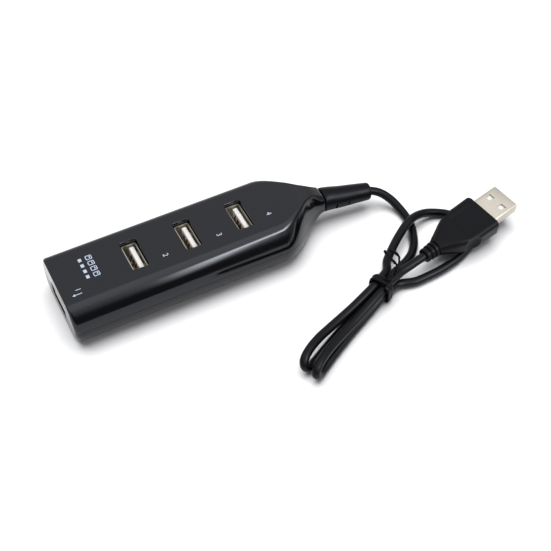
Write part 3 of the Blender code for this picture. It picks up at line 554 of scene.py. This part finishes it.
def smooth_route(points, spacing):
    """Points at even steps of about that spacing along a Catmull-Rom curve."""
    knots = [Vector(p) for p in points]
    knots = [knots[0] * 2 - knots[1]] + knots + [knots[-1] * 2 - knots[-2]]
    fine = []
    for a, b, c, d in zip(knots, knots[1:], knots[2:], knots[3:]):
        for step in range(16):
            t = step / 16
            fine.append(0.5 * ((2 * b) + (c - a) * t + (2 * a - 5 * b + 4 * c - d) * t ** 2
                               + (3 * b - a - 3 * c + d) * t ** 3))
    fine.append(knots[-2])
    length = sum((q - p).length for p, q in zip(fine, fine[1:]))
    pieces = max(2, round(length / spacing))
    route = [fine[0]]
    walked = 0.0
    for p, q in zip(fine, fine[1:]):
        step = (q - p).length
        while len(route) < pieces and walked + step >= len(route) * length / pieces - 1e-9:
            share = (len(route) * length / pieces - walked) / step
            route.append(p.lerp(q, share))
        walked += step
    route.append(fine[-1])
    return route


# ---------------------------------------------------------------- the lead

def hank(run, side, height):
    """A point of the hank: along its strands from the tie, across them, and above the table."""
    return HANK_CORNER + HANK_RUN * run + HANK_SIDE * side + Vector((0, 0, height))


def plug_frame():
    """The plug's own frame: X out of its mouth from the front of the grip, Y across it."""
    up = PLUG_ALONG.cross(PLUG_ACROSS).normalized()
    across = up.cross(PLUG_ALONG).normalized()
    turn = Matrix((PLUG_ALONG.normalized(), across, up)).transposed()
    return Matrix.Translation(PLUG_ORIGIN) @ turn.to_4x4()


# The folds are given in the hank's own measures, and the rest in the hub's.
FIRST_RUN = [
    (97.6, 0, 9.6), (103, 0, 9.6), (106.2, 0, 9.6), (109.4, -0.35, 9.25), (112.6, -0.85, 8.8),
    (119, -1.6, 8.1), (125.4, -2.4, 7.4), (129.4, -4.3, 6.2), (132.4, -7.8, 4.2),
    (134.0, -12.2, 2.3), (134.3, -16.5, 1.7), (133.6, -21.0, 1.7), (131.9, -25.5, 1.7),
    (129.6, -29.8, 1.7), (126.4, -33.4, 1.7), (121.6, -36.2, 1.7)]
FIRST_FOLD = [
    (-9.35, -3.3, 2.35), (-4.75, -3.6, 2.95), (0, -3.6, 2.95), (6, -3.9, 2.2), (14, -4.1, 1.7),
    (22, -4.1, 1.7), (30, -4.0, 1.7), (36, -3.9, 1.7), (39.6, -3.9, 2.3), (41.3, -4.5, 4.2),
    (40.2, -5.5, 6.2), (36.4, -6.3, 6.8), (30, -6.7, 6.3), (24, -6.4, 5.6), (18, -5.8, 5.3),
    (11, -4.9, 5.5), (5, -4.2, 6.1), (0, -3.8, 6.4), (-4.75, -3.75, 6.4), (-9.35, -4.1, 6.0)]
FAR_LOOP = [
    (114.7, -34.7, 5.2), (119.0, -30.8, 5.1), (122.5, -27.9, 5.1), (126.2, -25.2, 5.2),
    (129.6, -23.0, 5.3), (133.0, -21.2, 5.3), (136.4, -20.0, 4.7), (140.8, -19.3, 3.4),
    (145.0, -20.0, 2.2), (148.9, -22.2, 1.7), (151.8, -25.8, 1.7), (153.2, -30.0, 1.7),
    (152.6, -34.6, 1.7), (149.6, -38.9, 1.7), (145.3, -41.4, 1.7), (140.6, -43.2, 1.7),
    (136.5, -44.2, 1.7), (131.7, -45.0, 1.7), (126.4, -45.4, 1.7), (120.6, -45.5, 1.8)]
SECOND_FOLD = [
    (-9.35, 1.3, 2.3), (-4.75, 0.5, 2.95), (0, 0, 2.95), (6, -0.2, 2.2), (13, -0.4, 1.7),
    (20, -0.4, 1.7), (27, -0.2, 1.7), (33, 0.1, 1.7), (37.5, 0.5, 1.7), (40.2, 0.7, 2.4),
    (41.7, 0.5, 4.3), (40.6, 0.1, 6.2), (36.8, -0.5, 6.8), (31, -1.0, 6.4), (24, -1.1, 5.7),
    (17, -1.0, 5.3), (10, -0.7, 5.7), (5, -0.4, 6.2), (0, -0.2, 6.4), (-4.75, -0.2, 6.4),
    (-9.15, 0.2, 6.3)]
TO_PLUG = [(116.6, -42.0, 6.1), (121.0, -41.1, 6.2)]
PLUG_END = (-31.5, -28.0, -25.2)               # along the plug, inside its grip


def lead_route():
    """The middle of the lead from the hub's board to the plug's contacts."""
    in_plug = [plug_frame() @ Vector((a, 0, 0)) for a in PLUG_END]
    return ([Vector(p) for p in FIRST_RUN] + [hank(*p) for p in FIRST_FOLD]
            + [Vector(p) for p in FAR_LOOP] + [hank(*p) for p in SECOND_FOLD]
            + [Vector(p) for p in TO_PLUG] + in_plug)


def make_lead(mat):
    """One spline: out of the case, twice through the tied hank, and into the plug."""
    route = [TO_FRAME @ p for p in lead_route()]
    data = bpy.data.curves.new("lead", "CURVE")
    data.dimensions = "3D"
    data.bevel_depth = CABLE_RADIUS * MM
    data.bevel_resolution = 7
    data.resolution_u = 10
    data.use_fill_caps = True
    line = data.splines.new("BEZIER")
    line.bezier_points.add(len(route) - 1)
    for i, (knot, spot) in enumerate(zip(line.bezier_points, route)):
        before, after = route[max(i - 1, 0)], route[min(i + 1, len(route) - 1)]
        heading = (after - before).normalized()
        knot.co = spot
        knot.handle_left_type = knot.handle_right_type = "FREE"
        knot.handle_left = spot - heading * (spot - before).length / 3
        knot.handle_right = spot + heading * (after - spot).length / 3
    data.materials.append(mat)
    lead = bpy.data.objects.new("lead", data)
    bpy.context.scene.collection.objects.link(lead)
    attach(lead, "root")
    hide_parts("cable_from_hub", "cable_hank", "cable_far_loop", "cable_to_plug")
    return lead


# ---------------------------------------------------------------- the case

def upper_profile(side_steps=16, corner_steps=12):
    """The upper half of the section: (y, height above the joint, turn of its normal from +Z)."""
    points = []
    turn = math.radians(TOP_ROUNDING_TURN)
    middle = CASE_HEIGHT - TOP_ROUNDING
    start = Vector((TOP_FLAT + TOP_ROUNDING * math.sin(turn), middle + TOP_ROUNDING * math.cos(turn)))
    end = Vector((CASE_HALF_WIDTH, WIDEST_AT))
    knee = Vector((CASE_HALF_WIDTH, start.y - (CASE_HALF_WIDTH - start.x) * math.tan(turn)))
    for step in range(side_steps + 1):
        t = SIDE_SHARE * (1 - step / side_steps)
        spot = start * (1 - t) ** 2 + knee * 2 * t * (1 - t) + end * t ** 2
        run = (knee - start) * (1 - t) + (end - knee) * t
        points.append((spot.x, spot.y - JOINT_HEIGHT, math.atan2(-run.y, run.x)))
    points[0] = (points[0][0], 0.0, math.pi / 2)
    for step in range(1, corner_steps + 1):
        bend = turn * (1 - step / corner_steps)
        spot = (TOP_FLAT + TOP_ROUNDING * math.sin(bend), middle + TOP_ROUNDING * math.cos(bend))
        points.append((spot[0], spot[1] - JOINT_HEIGHT, bend))
    return points


def lower_profile(steps=24):
    """The lower half of the section: (y, depth below the joint, turn of its normal from -Z)."""
    points = [(CASE_HALF_WIDTH, 0.0, math.pi / 2)]
    for step in range(1, steps + 1):
        turn = math.pi / 2 * (1 - step / steps)
        y = BOTTOM_FLAT + (CASE_HALF_WIDTH - BOTTOM_FLAT) * math.sin(turn)
        depth = JOINT_HEIGHT - WIDEST_AT + WIDEST_AT * math.cos(turn)
        points.append((y, depth, turn))
    return points


def end_rounding(x, turn):
    """How far the surface is drawn in near the end face; the edge is sharper along the top."""
    radius = END_EDGE_TOP + END_EDGE_SIDE * min(1 - math.cos(turn), 1.0)
    return rounding(max(radius - x, 0.0), radius)


def case_section(x, upper, inset=0.0):
    """Half of the case's section at x: (y, z) from +Y over to -Y, without the joint face."""
    if upper:
        base = upper_profile()
        full = CASE_HEIGHT - JOINT_HEIGHT
        tall = full - (full - NECK_RADIUS) * ease(x, *TOP_DROPS)
    else:
        base = lower_profile()
        full = JOINT_HEIGHT
        tall = full - (full - NECK_RADIUS) * ease(x, *BOTTOM_RISES)
    roundness = ease(x, *TURNS_ROUND)
    points = []
    for i, (y, z, turn) in enumerate(base):
        level = (JOINT_HEIGHT + z if upper else JOINT_HEIGHT - z) / CASE_HEIGHT
        start, end = [at - sooner * level for at, sooner in (NARROWS_FROM, NARROWS_TO)]
        narrow = ease(x, start, end)
        share = 1 - (1 - NECK_RADIUS / CASE_HALF_WIDTH) * narrow
        angle = math.atan2(y / CASE_HALF_WIDTH, z / full)
        oval = (CASE_HALF_WIDTH * share * math.sin(angle), tall * math.cos(angle))
        plain = (y * share, z * tall / full)
        spot = [a + (b - a) * roundness for a, b in zip(plain, oval)]
        off = inset + end_rounding(x, turn if upper else math.pi - turn)
        y = max(spot[0] - off * math.sin(turn), 0.05)
        z = max(spot[1] - off * math.cos(turn), SEAM + 0.01 * i)
        points.append((y, z))
    both = points + [(-y, z) for y, z in reversed(points)]
    sign = 1 if upper else -1
    return [(y, JOINT_HEIGHT + sign * z) for y, z in both]


def case_stations():
    """Where the case's sections stand: closer together at its rounded ends and in the taper."""
    rounded = [0, 0.01, 0.035, 0.075, 0.13, 0.2, 0.28, 0.38, 0.48, 0.6, 0.75, 0.95, 1.2, 1.5,
               1.85, 2.2, 2.6]
    body = [8 + 6.5 * i for i in range(12)]
    taper = [NARROWS_FROM[0] + 0.8 * i for i in range(30)]
    taper = [x for x in taper if x < CASE_LENGTH - MOUTH_EDGE]
    return rounded + body + taper + [104.7, 104.92, 105.07, 105.16, CASE_LENGTH]


def case_body(upper):
    """One half of the case, solid, with a small rounding round the neck's mouth."""
    sections = []
    for x in case_stations():
        inset = rounding(max(x - (CASE_LENGTH - MOUTH_EDGE), 0.0), MOUTH_EDGE)
        sections.append([(x, y, z) for y, z in case_section(x, upper, inset)])
    return loft(sections)


def cavity(upper):
    """The space inside one half of the case, open past the joint face."""
    beyond = JOINT_HEIGHT + (-3.0 if upper else 3.0)
    sections = []
    for x in (WALL, 20, 50, 80, 84, 86, 88, 90, 92, 94, CAVITY_END):
        if upper:
            deep = CASE_HEIGHT - JOINT_HEIGHT - WALL
        else:
            deep = JOINT_HEIGHT - WALL - 5.0 * ease(x, 88, 100)
        ring = []
        for y, z in case_section(max(x, 5.0), upper)[::3]:
            pulled = math.copysign(max(abs(y) - WALL, 0.3), y)
            away = z - JOINT_HEIGHT
            ring.append([x, pulled, JOINT_HEIGHT + math.copysign(min(abs(away), deep), away)])
        ring[0][2] = ring[-1][2] = beyond
        sections.append(ring)
    return loft(sections)


def mouth_cutter(place, deep):
    """A port's hole in the case: Z = 0 is the case's face, and the edge there is rounded."""
    long = SHELL_LONG / 2 + CUTOUT_CLEARANCE
    thick = SHELL_THICK / 2 + CUTOUT_CLEARANCE
    r = CUTOUT_ROUNDING
    stages = [(-deep, 0.0)]
    for step in range(7):
        turn = math.radians(78) * step / 6
        stages.append((-r + r * math.sin(turn), r * (1 - math.cos(turn))))
    last = stages[-1]
    stages.append((0.5, last[1] + (0.5 - last[0]) * 4.0))
    stages.append((3.0, stages[-1][1]))
    return rounded_bar(thick, long, CUTOUT_CORNER, stages, place)


def port_place(number):
    """Where along the case a standing port's middle is."""
    return PORT_FIRST + PORT_PITCH * (number - 2)


def end_place(x):
    """A frame at the end face whose Z points out of it."""
    turn = Matrix(((0, 0, -1), (0, 1, 0), (1, 0, 0))).to_4x4()
    return Matrix.Translation((x, 0, JOINT_HEIGHT)) @ turn


def case_cutters(upper):
    """What is taken out of one half of the case: its space, the ports' holes and the neck's bore."""
    cutters = [cavity(upper), mouth_cutter(end_place(0.0), WALL + 2.0)]
    if upper:
        for number in STANDING_PORTS:
            place = Matrix.Translation((port_place(number), 0, CASE_HEIGHT))
            cutters.append(mouth_cutter(place, CUTOUT_DEPTH))
    bore = Matrix.Translation((101.5, 0, JOINT_HEIGHT)) @ Matrix.Rotation(math.pi / 2, 4, "Y")
    circle = circle_points(NECK_BORE, 40)
    cutters.append(loft([[(a, b, h) for a, b in circle] for h in (-7.0, 7.0)], bore))
    return cutters


def make_case_top(mat):
    """The upper half of the case, with four stiffening ribs inside."""
    body = carve(case_body(True), case_cutters(True))
    for x in RIB_PLACES:
        for side in (-1, 1):
            y = side * RIB_SIDE
            rounded_box(body, (x - 0.6, y - 1.1, 10.4), (x + 0.6, y + 1.1, 13.6), 0.15)
    return place_mesh("case_top", body, mat, ["top_shell"], 40, True)


def make_case_bottom(mat):
    """The lower half of the case, with the board's posts and six snap hooks inside."""
    body = carve(case_body(False), case_cutters(False))
    circle = circle_points(1.0, 24)
    for x, y in POST_PLACES:
        loft([[(x + r * a, y + r * b, h) for a, b in circle] for h, r in POST_STAGES], bm=body)
    for x in HOOK_PLACES:
        for side in (-1, 1):
            y = side * HOOK_SIDE
            rounded_box(body, (x - 2.0, y - 0.5, 1.2), (x + 2.0, y + 0.5, 12.4), 0.2)
    return place_mesh("case_bottom", body, mat, ["bottom_shell"], 40, True)


# ---------------------------------------------------------------- printed marks

INK_HEIGHT = 0.012                             # over the case's top
INK_THICK = 0.02
NUMBER_SIZE = 2.9
NUMBERS = (("2", 39.6, -5.6), ("3", 60.6, -5.6), ("4", 81.1, -4.6), ("1", 6.3, -6.2))
SIGN_FIRST = 5.9
SIGN_PITCH = 2.75


def text_faces(bm, text, size, spot):
    """A printed character that reads towards -Y with its head towards +X."""
    data = bpy.data.curves.new("mark", "FONT")
    data.body = text
    data.size = size
    data.align_x = data.align_y = "CENTER"
    data.extrude = INK_HEIGHT
    data.resolution_u = 6
    helper = bpy.data.objects.new("mark", data)
    bpy.context.scene.collection.objects.link(helper)
    graph = bpy.context.evaluated_depsgraph_get()
    mesh = bpy.data.meshes.new_from_object(helper.evaluated_get(graph))
    mesh.transform(Matrix.Translation(spot) @ Matrix.Rotation(-math.pi / 2, 4, "Z"))
    bm.from_mesh(mesh)
    bpy.data.objects.remove(helper, do_unlink=True)
    bpy.data.curves.remove(data)
    bpy.data.meshes.remove(mesh)


def ink_outline(bm, low, high, line, corner):
    """A thin printed rounded frame between two corners (x, y)."""
    middle = ((low[0] + high[0]) / 2, (low[1] + high[1]) / 2)
    half = ((high[0] - low[0]) / 2, (high[1] - low[1]) / 2)
    top = CASE_HEIGHT + INK_HEIGHT
    foot = top - INK_THICK
    rings = []
    for z, grow in ((foot, 0.0), (top, 0.0), (top, -line), (foot, -line)):
        outline = rounded_rectangle(half[0] + grow, half[1] + grow, max(corner + grow, 0.05), 4)
        rings.append([bm.verts.new((middle[0] + a, middle[1] + b, z)) for a, b in outline])
    bridge(bm, rings + [rings[0]], ends=False)


def ink_patch(bm, points):
    """A printed area inside an outline of points (x, y)."""
    top = CASE_HEIGHT + INK_HEIGHT
    loft([[(x, y, z) for x, y in points] for z in (top - INK_THICK, top)], bm=bm)


def ink_bar(bm, low, high):
    """A printed rectangle between two corners (x, y)."""
    ink_patch(bm, [low, (high[0], low[1]), high, (low[0], high[1])])


def make_marks(mat):
    """The ports' numbers, an arrow to port 1, and a row of four small port signs."""
    bm = bmesh.new()
    for text, x, y in NUMBERS:
        text_faces(bm, text, NUMBER_SIZE, (x, y, CASE_HEIGHT))
    ink_bar(bm, (4.6, -8.05), (7.2, -8.35))
    ink_patch(bm, [(4.6, -7.6), (4.6, -8.8), (3.6, -8.2)])
    for i in range(4):
        y = SIGN_FIRST - SIGN_PITCH * i
        ink_outline(bm, (13.6, y - 1.0), (16.0, y + 1.0), 0.32, 0.4)
        ink_bar(bm, (14.95, y - 0.5), (15.35, y + 0.5))
        ink_bar(bm, (10.9, y - 0.75), (12.1, y + 0.75))
    return place_mesh("printed_marks", bm, mat, angle=20)


# ---------------------------------------------------------------- the ports

def port_frame(number):
    """A port's own frame: X across its thickness, Y along its width, Z out of its mouth."""
    if number == 1:
        return end_place(END_PORT_FACE)
    return Matrix.Translation((port_place(number), 0, STANDING_PORT_TOP))


def make_port_shell(number, mat):
    """A folded steel box with a rolled mouth, four spring leaves and the slots they are cut from."""
    place = port_frame(number)
    half_a, half_b = SHELL_THICK / 2, SHELL_LONG / 2
    lip = [(-PORT_DEPTH, 0.0), (-0.12, 0.0), (-0.05, -0.02), (-0.01, -0.06), (0.0, -0.1)]
    body = rounded_bar(half_a, half_b, 0.75, lip)
    hollow = rounded_bar(half_a - SHELL_WALL, half_b - SHELL_WALL, 0.4,
                         [(-PORT_DEPTH - 1, 0), (-0.3, 0), (-0.1, 0.03), (0.0, 0.08), (0.5, 0.3)])
    slots = []
    for side in (-1, 1):
        wall = side * half_a
        for middle in [leaf + off for leaf in LEAF_PLACES for off in LEAF_SLOTS]:
            bm = bmesh.new()
            low = (wall - 1, middle - LEAF_SLOT_HALF, -8.0)
            rounded_box(bm, low, (wall + 1, middle + LEAF_SLOT_HALF, -2.2), 0.15)
            slots.append(bm)
    body = carve(body, [hollow] + slots)
    for side in (-1, 1):
        for y in LEAF_PLACES:
            add_leaf(body, side, y, half_a)
    bmesh.ops.transform(body, matrix=place, verts=body.verts)
    return place_mesh(f"port_{number}_sleeve", body, mat,
                      [f"port_{number}_shell"], 30)


def add_leaf(bm, side, y, half_a):
    """A spring leaf that bows into the mouth."""
    inner = half_a - SHELL_WALL
    spine = [(0.0, -8.0), (0.05, -7.2), (0.22, -6.0), (0.36, -5.0), (0.42, -4.2), (0.34, -3.5),
             (0.1, -2.9)]
    sections = []
    for bow, z in spine:
        outer = side * (inner - bow + 0.12)
        inside = side * (inner - bow)
        width = 1.05 if z > -7.5 else 1.15
        sections.append([(outer, y - width, z), (outer, y + width, z),
                         (inside, y + width, z), (inside, y - width, z)])
    loft(sections, bm=bm)


# ---------------------------------------------------------------- strain relief

RELIEF_SIDES = 40
RELIEF_BORE = 1.75
RELIEF_FLANGE = [(92.9, 4.1), (93.1, 4.3), (94.9, 4.3), (95.0, 4.2), (95.05, 2.9), (105.45, 2.9)]
RELIEF_SHOULDER = [(105.55, 4.1), (105.65, 4.42), (105.85, 4.62)]
RELIEF_TAPER = [(106.2 + i, 4.7 - 0.069 * i) for i in range(19)]
RELIEF_TIP = [(124.7, 3.38), (124.95, 3.28), (125.15, 3.1), (125.28, 2.85), (125.3, RELIEF_BORE)]
RELIEF_SLOTS = ((110.9, -1), (115.8, -1), (113.4, 1), (118.3, 1))


def axis_at(axis, x):
    """The point of a line at that x, and the line's direction there."""
    for p, q in zip(axis, axis[1:]):
        if p.x <= x <= q.x:
            return p.lerp(q, (x - p.x) / (q.x - p.x)), (q - p).normalized()
    return axis[-1], (axis[-1] - axis[-2]).normalized()


def ring_round(middle, run, radius):
    """A circle of points round a line."""
    across = run.cross(Vector((0, 0, 1))).normalized()
    up = across.cross(run).normalized()
    turns = [math.tau * i / RELIEF_SIDES for i in range(RELIEF_SIDES)]
    return [middle + (across * math.cos(t) + up * math.sin(t)) * radius for t in turns]


def make_relief(mat):
    """A soft sleeve: a flange in the neck, then a taper with flex slots down both sides."""
    axis = smooth_route(RELIEF_AXIS, 0.5)
    stations = RELIEF_FLANGE + RELIEF_SHOULDER + RELIEF_TAPER + RELIEF_TIP
    outer = [ring_round(*axis_at(axis, x), r) for x, r in stations]
    inner = [ring_round(*axis_at(axis, x), RELIEF_BORE)
             for x in (92.9, 98.0, 102.0, 106.0, 112.0, 116.0, 120.0)]
    bm = loft(outer + list(reversed(inner)), ends=False)
    bm.verts.ensure_lookup_table()
    bridge(bm, [bm.verts[-RELIEF_SIDES:], bm.verts[:RELIEF_SIDES]], ends=False)
    cutters = []
    for x, side in RELIEF_SLOTS:
        middle, run = axis_at(axis, x)
        turn = run.to_track_quat("X", "Z").to_matrix().to_4x4()
        cutter = bmesh.new()
        near, far = sorted((side * 2.8, side * 6))
        rounded_box(cutter, (-0.36, near, -4.0), (0.36, far, 0.5), 0.3,
                    Matrix.Translation(middle) @ turn)
        cutters.append(cutter)
    return place_mesh("relief_sleeve", carve(bm, cutters), mat, ["strain_relief"], 40)


# ---------------------------------------------------------------- twist tie

TIE_CORNERS = (                                # one turn round the hank, (side, height)
    (0.9, 9.15), (2.35, 7.7), (2.55, 4.6), (2.3, 1.5), (-0.2, 0.75), (-3.6, 0.75), (-5.9, 1.5),
    (-6.15, 4.6), (-6.0, 7.5), (-4.2, 9.0), (-1.8, 9.2))
TIE_PITCH = 1.5
TWIST_START = Vector((108.6, -46.6, 9.75))
TWIST_END = Vector((114.9, -41.6, 9.6))
TWIST_STEPS = 12
TWIST_STEP_TURN = math.pi * 0.4
TWIST_OFF = 0.5                                # each end's distance from the twist's middle
FIRST_TAIL = [(114.5, -38.9, 9.7), (114.2, -35.6, 9.5), (114.5, -32.7, 9.1)]
SECOND_TAIL = [(116.5, -39.8, 9.7), (117.6, -37.6, 9.6), (117.2, -35.0, 9.4), (116.2, -33.3, 9.3)]
TAIL_WIDTH = Vector((0.6, 0.3, 0.74))          # the way the tails' flat side lies


def tie_points():
    """Two turns round the hank, hugging its four strands."""
    turns = []
    for turn in range(2):
        for i, (side, height) in enumerate(TIE_CORNERS):
            run = -1.0 - TIE_PITCH * (turn + i / len(TIE_CORNERS))
            turns.append(hank(run, side, height))
    return turns


def ribbon(bm, route, widths, half_wide, half_thick, spacing=0.5):
    """A flat coated wire: an oval ribbon with a round core along its middle."""
    line = smooth_route(route, spacing)
    guide = smooth_route([Vector(r) + Vector(w) for r, w in zip(route, widths)], spacing)
    count = len(line)
    sections = []
    for i, spot in enumerate(line):
        run = (line[min(i + 1, count - 1)] - line[max(i - 1, 0)]).normalized()
        share = i / (count - 1) * (len(guide) - 1)
        near = guide[int(share)].lerp(guide[min(int(share) + 1, len(guide) - 1)], share % 1)
        wide = near - spot
        wide = (wide - run * wide.dot(run)).normalized()
        up = run.cross(wide).normalized()
        ring = []
        for k in range(16):
            turn = math.tau * k / 16
            a = half_wide * math.cos(turn)
            core = math.exp(-(a / 0.42) ** 2)
            swell = math.copysign(abs(math.sin(turn)) ** 0.6, math.sin(turn))
            b = half_thick * (0.55 + 0.45 * core) * swell
            ring.append(spot + wide * a + up * b)
        sections.append(ring)
    loft(sections, bm=bm)


def make_tie(mat):
    """The flat tie: two turns, then both ends twisted together and left as an open loop."""
    bm = bmesh.new()
    turns = tie_points()
    ribbon(bm, turns, [HANK_RUN] * len(turns), 0.85, 0.4)
    along = (TWIST_END - TWIST_START).normalized()
    across = along.cross(Vector((0, 0, 1))).normalized()
    up = across.cross(along).normalized()
    for phase, root, tail in ((0.0, turns[0], FIRST_TAIL), (math.pi, turns[-1], SECOND_TAIL)):
        route, widths = [root], [HANK_RUN]
        for i in range(TWIST_STEPS + 1):
            turn = phase + TWIST_STEP_TURN * i
            off = across * math.cos(turn) + up * math.sin(turn)
            route.append(TWIST_START.lerp(TWIST_END, i / TWIST_STEPS) + off * TWIST_OFF)
            widths.append(along.cross(off).normalized())
        route += [Vector(p) for p in tail]
        widths += [TAIL_WIDTH] * len(tail)
        ribbon(bm, route, widths, 0.62, 0.34, 0.35)
    return place_mesh("tie", bm, mat, ["twist_tie"], 50)


# ---------------------------------------------------------------- the plug

GRIP_END = -31.0
GRIP_TABLE = (                                 # (place along the plug, half width, half height)
    (GRIP_END, 2.7, 2.7), (-24.9, 3.35, 3.25), (-23.6, 3.95, 3.4), (-20.6, 5.3, 3.55),
    (-17.2, 6.8, 3.65), (-14.0, 7.9, 3.7), (-11.5, 8.3, 3.7), (-6.0, 8.4, 3.7),
    (-1.2, 8.5, 3.7), (0.0, 8.5, 3.7))
GRIP_STOPS = ([GRIP_END, -30.9, -30.7] + [-30.4 + 0.2 * i for i in range(147)]
              + [-0.95, -0.75, -0.55, -0.36, -0.2, -0.08, -0.02, 0.0])
GRIP_BORE = 1.72
SLEEVE_FRONT = -24.6                           # the round, ribbed sleeve lies behind this
GROOVES = (-30.1, -24.7)
GROOVE_FIRST = -25.6
GROOVE_PITCH = 1.8
GROOVE_DEPTH = 0.6
PANEL_FLOOR = 3.56                             # above and below the plug's middle


def make_grip(mat):
    """The moulded grip, with a sunken panel, finger scallops and a ribbed sleeve on the lead."""
    sections = []
    for a in GRIP_STOPS:
        half_wide, half_tall = table_at(GRIP_TABLE, a)
        if a < SLEEVE_FRONT:
            half_wide = half_tall = min(half_wide, half_tall)
            from_groove = abs(((a - GROOVE_FIRST) / GROOVE_PITCH + 0.5) % 1 - 0.5) * GROOVE_PITCH
            if GROOVES[0] < a < GROOVES[1]:
                depth = GROOVE_DEPTH * (1 - ease(from_groove, 0.25, 0.5))
                half_wide -= depth
                half_tall -= depth
        draw = rounding(max(a + 1.0, 0.0), 1.0) + rounding(max(GRIP_END + 0.4 - a, 0.0), 0.4)
        half_wide -= draw * 0.8
        half_tall -= draw * 0.8
        blend = ease(a, -25, -15)
        corner = (min(half_wide, half_tall) - 0.03) * (1 - blend) + 1.9 * blend
        sections.append([(a, y, z) for y, z in rounded_rectangle(half_wide, half_tall, corner, 8)])
    body = loft(sections)
    half_long, half_thick = PLUG_SHELL_LONG / 2 + 0.15, PLUG_SHELL_THICK / 2 + 0.15
    pocket = rounded_bar(half_thick, half_long, 0.7, [(-5, 0), (2, 0)], along_plug())
    circle = circle_points(GRIP_BORE, 32)
    bore = loft([[(x, y, z) for y, z in circle] for x in (-33, -25)])
    panels = []
    for side in (-1, 1):
        cutter = bmesh.new()
        low, high = sorted((side * PANEL_FLOOR, side * 6.0))
        rounded_box(cutter, (-14.4, -5.3, low), (-2.2, 5.3, high), 1.2, steps=5)
        panels.append(cutter)
    dishes = [finger_dish(side) for side in (-1, 1)]
    body = carve(body, [pocket, bore] + panels + dishes)
    bmesh.ops.transform(body, matrix=plug_frame(), verts=body.verts)
    return place_mesh("grip", body, mat, ["plug_grip"], 38, True)


def finger_dish(side):
    """A shallow oval hollow for a finger, in the side of the grip."""
    cutter = bmesh.new()
    bmesh.ops.create_uvsphere(cutter, u_segments=40, v_segments=24, radius=1.0)
    size = Matrix.Diagonal((6.6, 7.0, 9.0, 1.0))
    place = Matrix.Translation((-14.0, side * 13.4, 0.0)) @ size
    bmesh.ops.transform(cutter, matrix=place, verts=cutter.verts)
    return cutter


def along_plug():
    """A frame whose Z points along the plug and whose X is the plug's thickness."""
    return Matrix(((0, 0, 1), (0, 1, 0), (-1, 0, 0))).to_4x4()


def make_sleeve(mat):
    """The plug's folded steel sleeve: rolled front edge, four windows and a seam underneath."""
    half_thick, half_long = PLUG_SHELL_THICK / 2, PLUG_SHELL_LONG / 2
    reach, wall = PLUG_SHELL_REACH, PLUG_SHELL_WALL
    along = along_plug()
    stages = [(PLUG_SHELL_ROOT, 0), (reach - 0.35, 0), (reach - 0.15, -0.04),
              (reach - 0.04, -0.12), (reach, -0.22)]
    body = rounded_bar(half_thick, half_long, 0.75, stages, along, 7)
    hollow = rounded_bar(half_thick - wall, half_long - wall, 0.45, [(-6, 0), (reach + 1, 0)],
                         along, 5)
    cutters = [hollow]
    for side in (-1, 1):
        cutter = bmesh.new()
        y = side * PLUG_WINDOW_SIDE
        rounded_box(cutter, (PLUG_WINDOW[0], y - PLUG_WINDOW_HALF, -4),
                    (PLUG_WINDOW[1], y + PLUG_WINDOW_HALF, 4), 0.2)
        cutters.append(cutter)
    seam = bmesh.new()
    rounded_box(seam, (-6, -0.06, -4), (reach + 1, 0.06, -1.9), 0.02)
    body = carve(body, cutters + [seam])
    bmesh.ops.transform(body, matrix=plug_frame(), verts=body.verts)
    return place_mesh("plug_sleeve", body, mat, ["plug_shell"], 30)


# ---------------------------------------------------------------- everything

def build():
    """Make the whole picture: the camera, the hub's pieces, the lead and the room."""
    scene = bpy.context.scene
    scene.view_settings.view_transform = "Standard"
    scene.view_settings.look = "None"
    make_camera()
    mats = make_materials()
    lead = make_lead(mats["cable_sheath"])
    dress_cad_nodes(mats)
    make_case_top(mats["case_plastic"])
    # The lower half gets the copy of the plastic whose dimmer reflection is painted shade.
    make_case_bottom(mats["case_plastic_lower_painted_shade"])
    make_marks(plain_material("white ink", (0.36, 0.42, 0.52), (0.4, 0.55), 300, 0.0, 0.03))
    for number in (1, *STANDING_PORTS):
        make_port_shell(number, mats["plated_steel"])
    make_relief(mats["soft_plastic"])
    tie = make_tie(mats["tie_plastic"])
    grip = make_grip(mats["soft_plastic"])
    sleeve = make_sleeve(mats["plated_steel"])
    make_world()
    make_stage()


build()
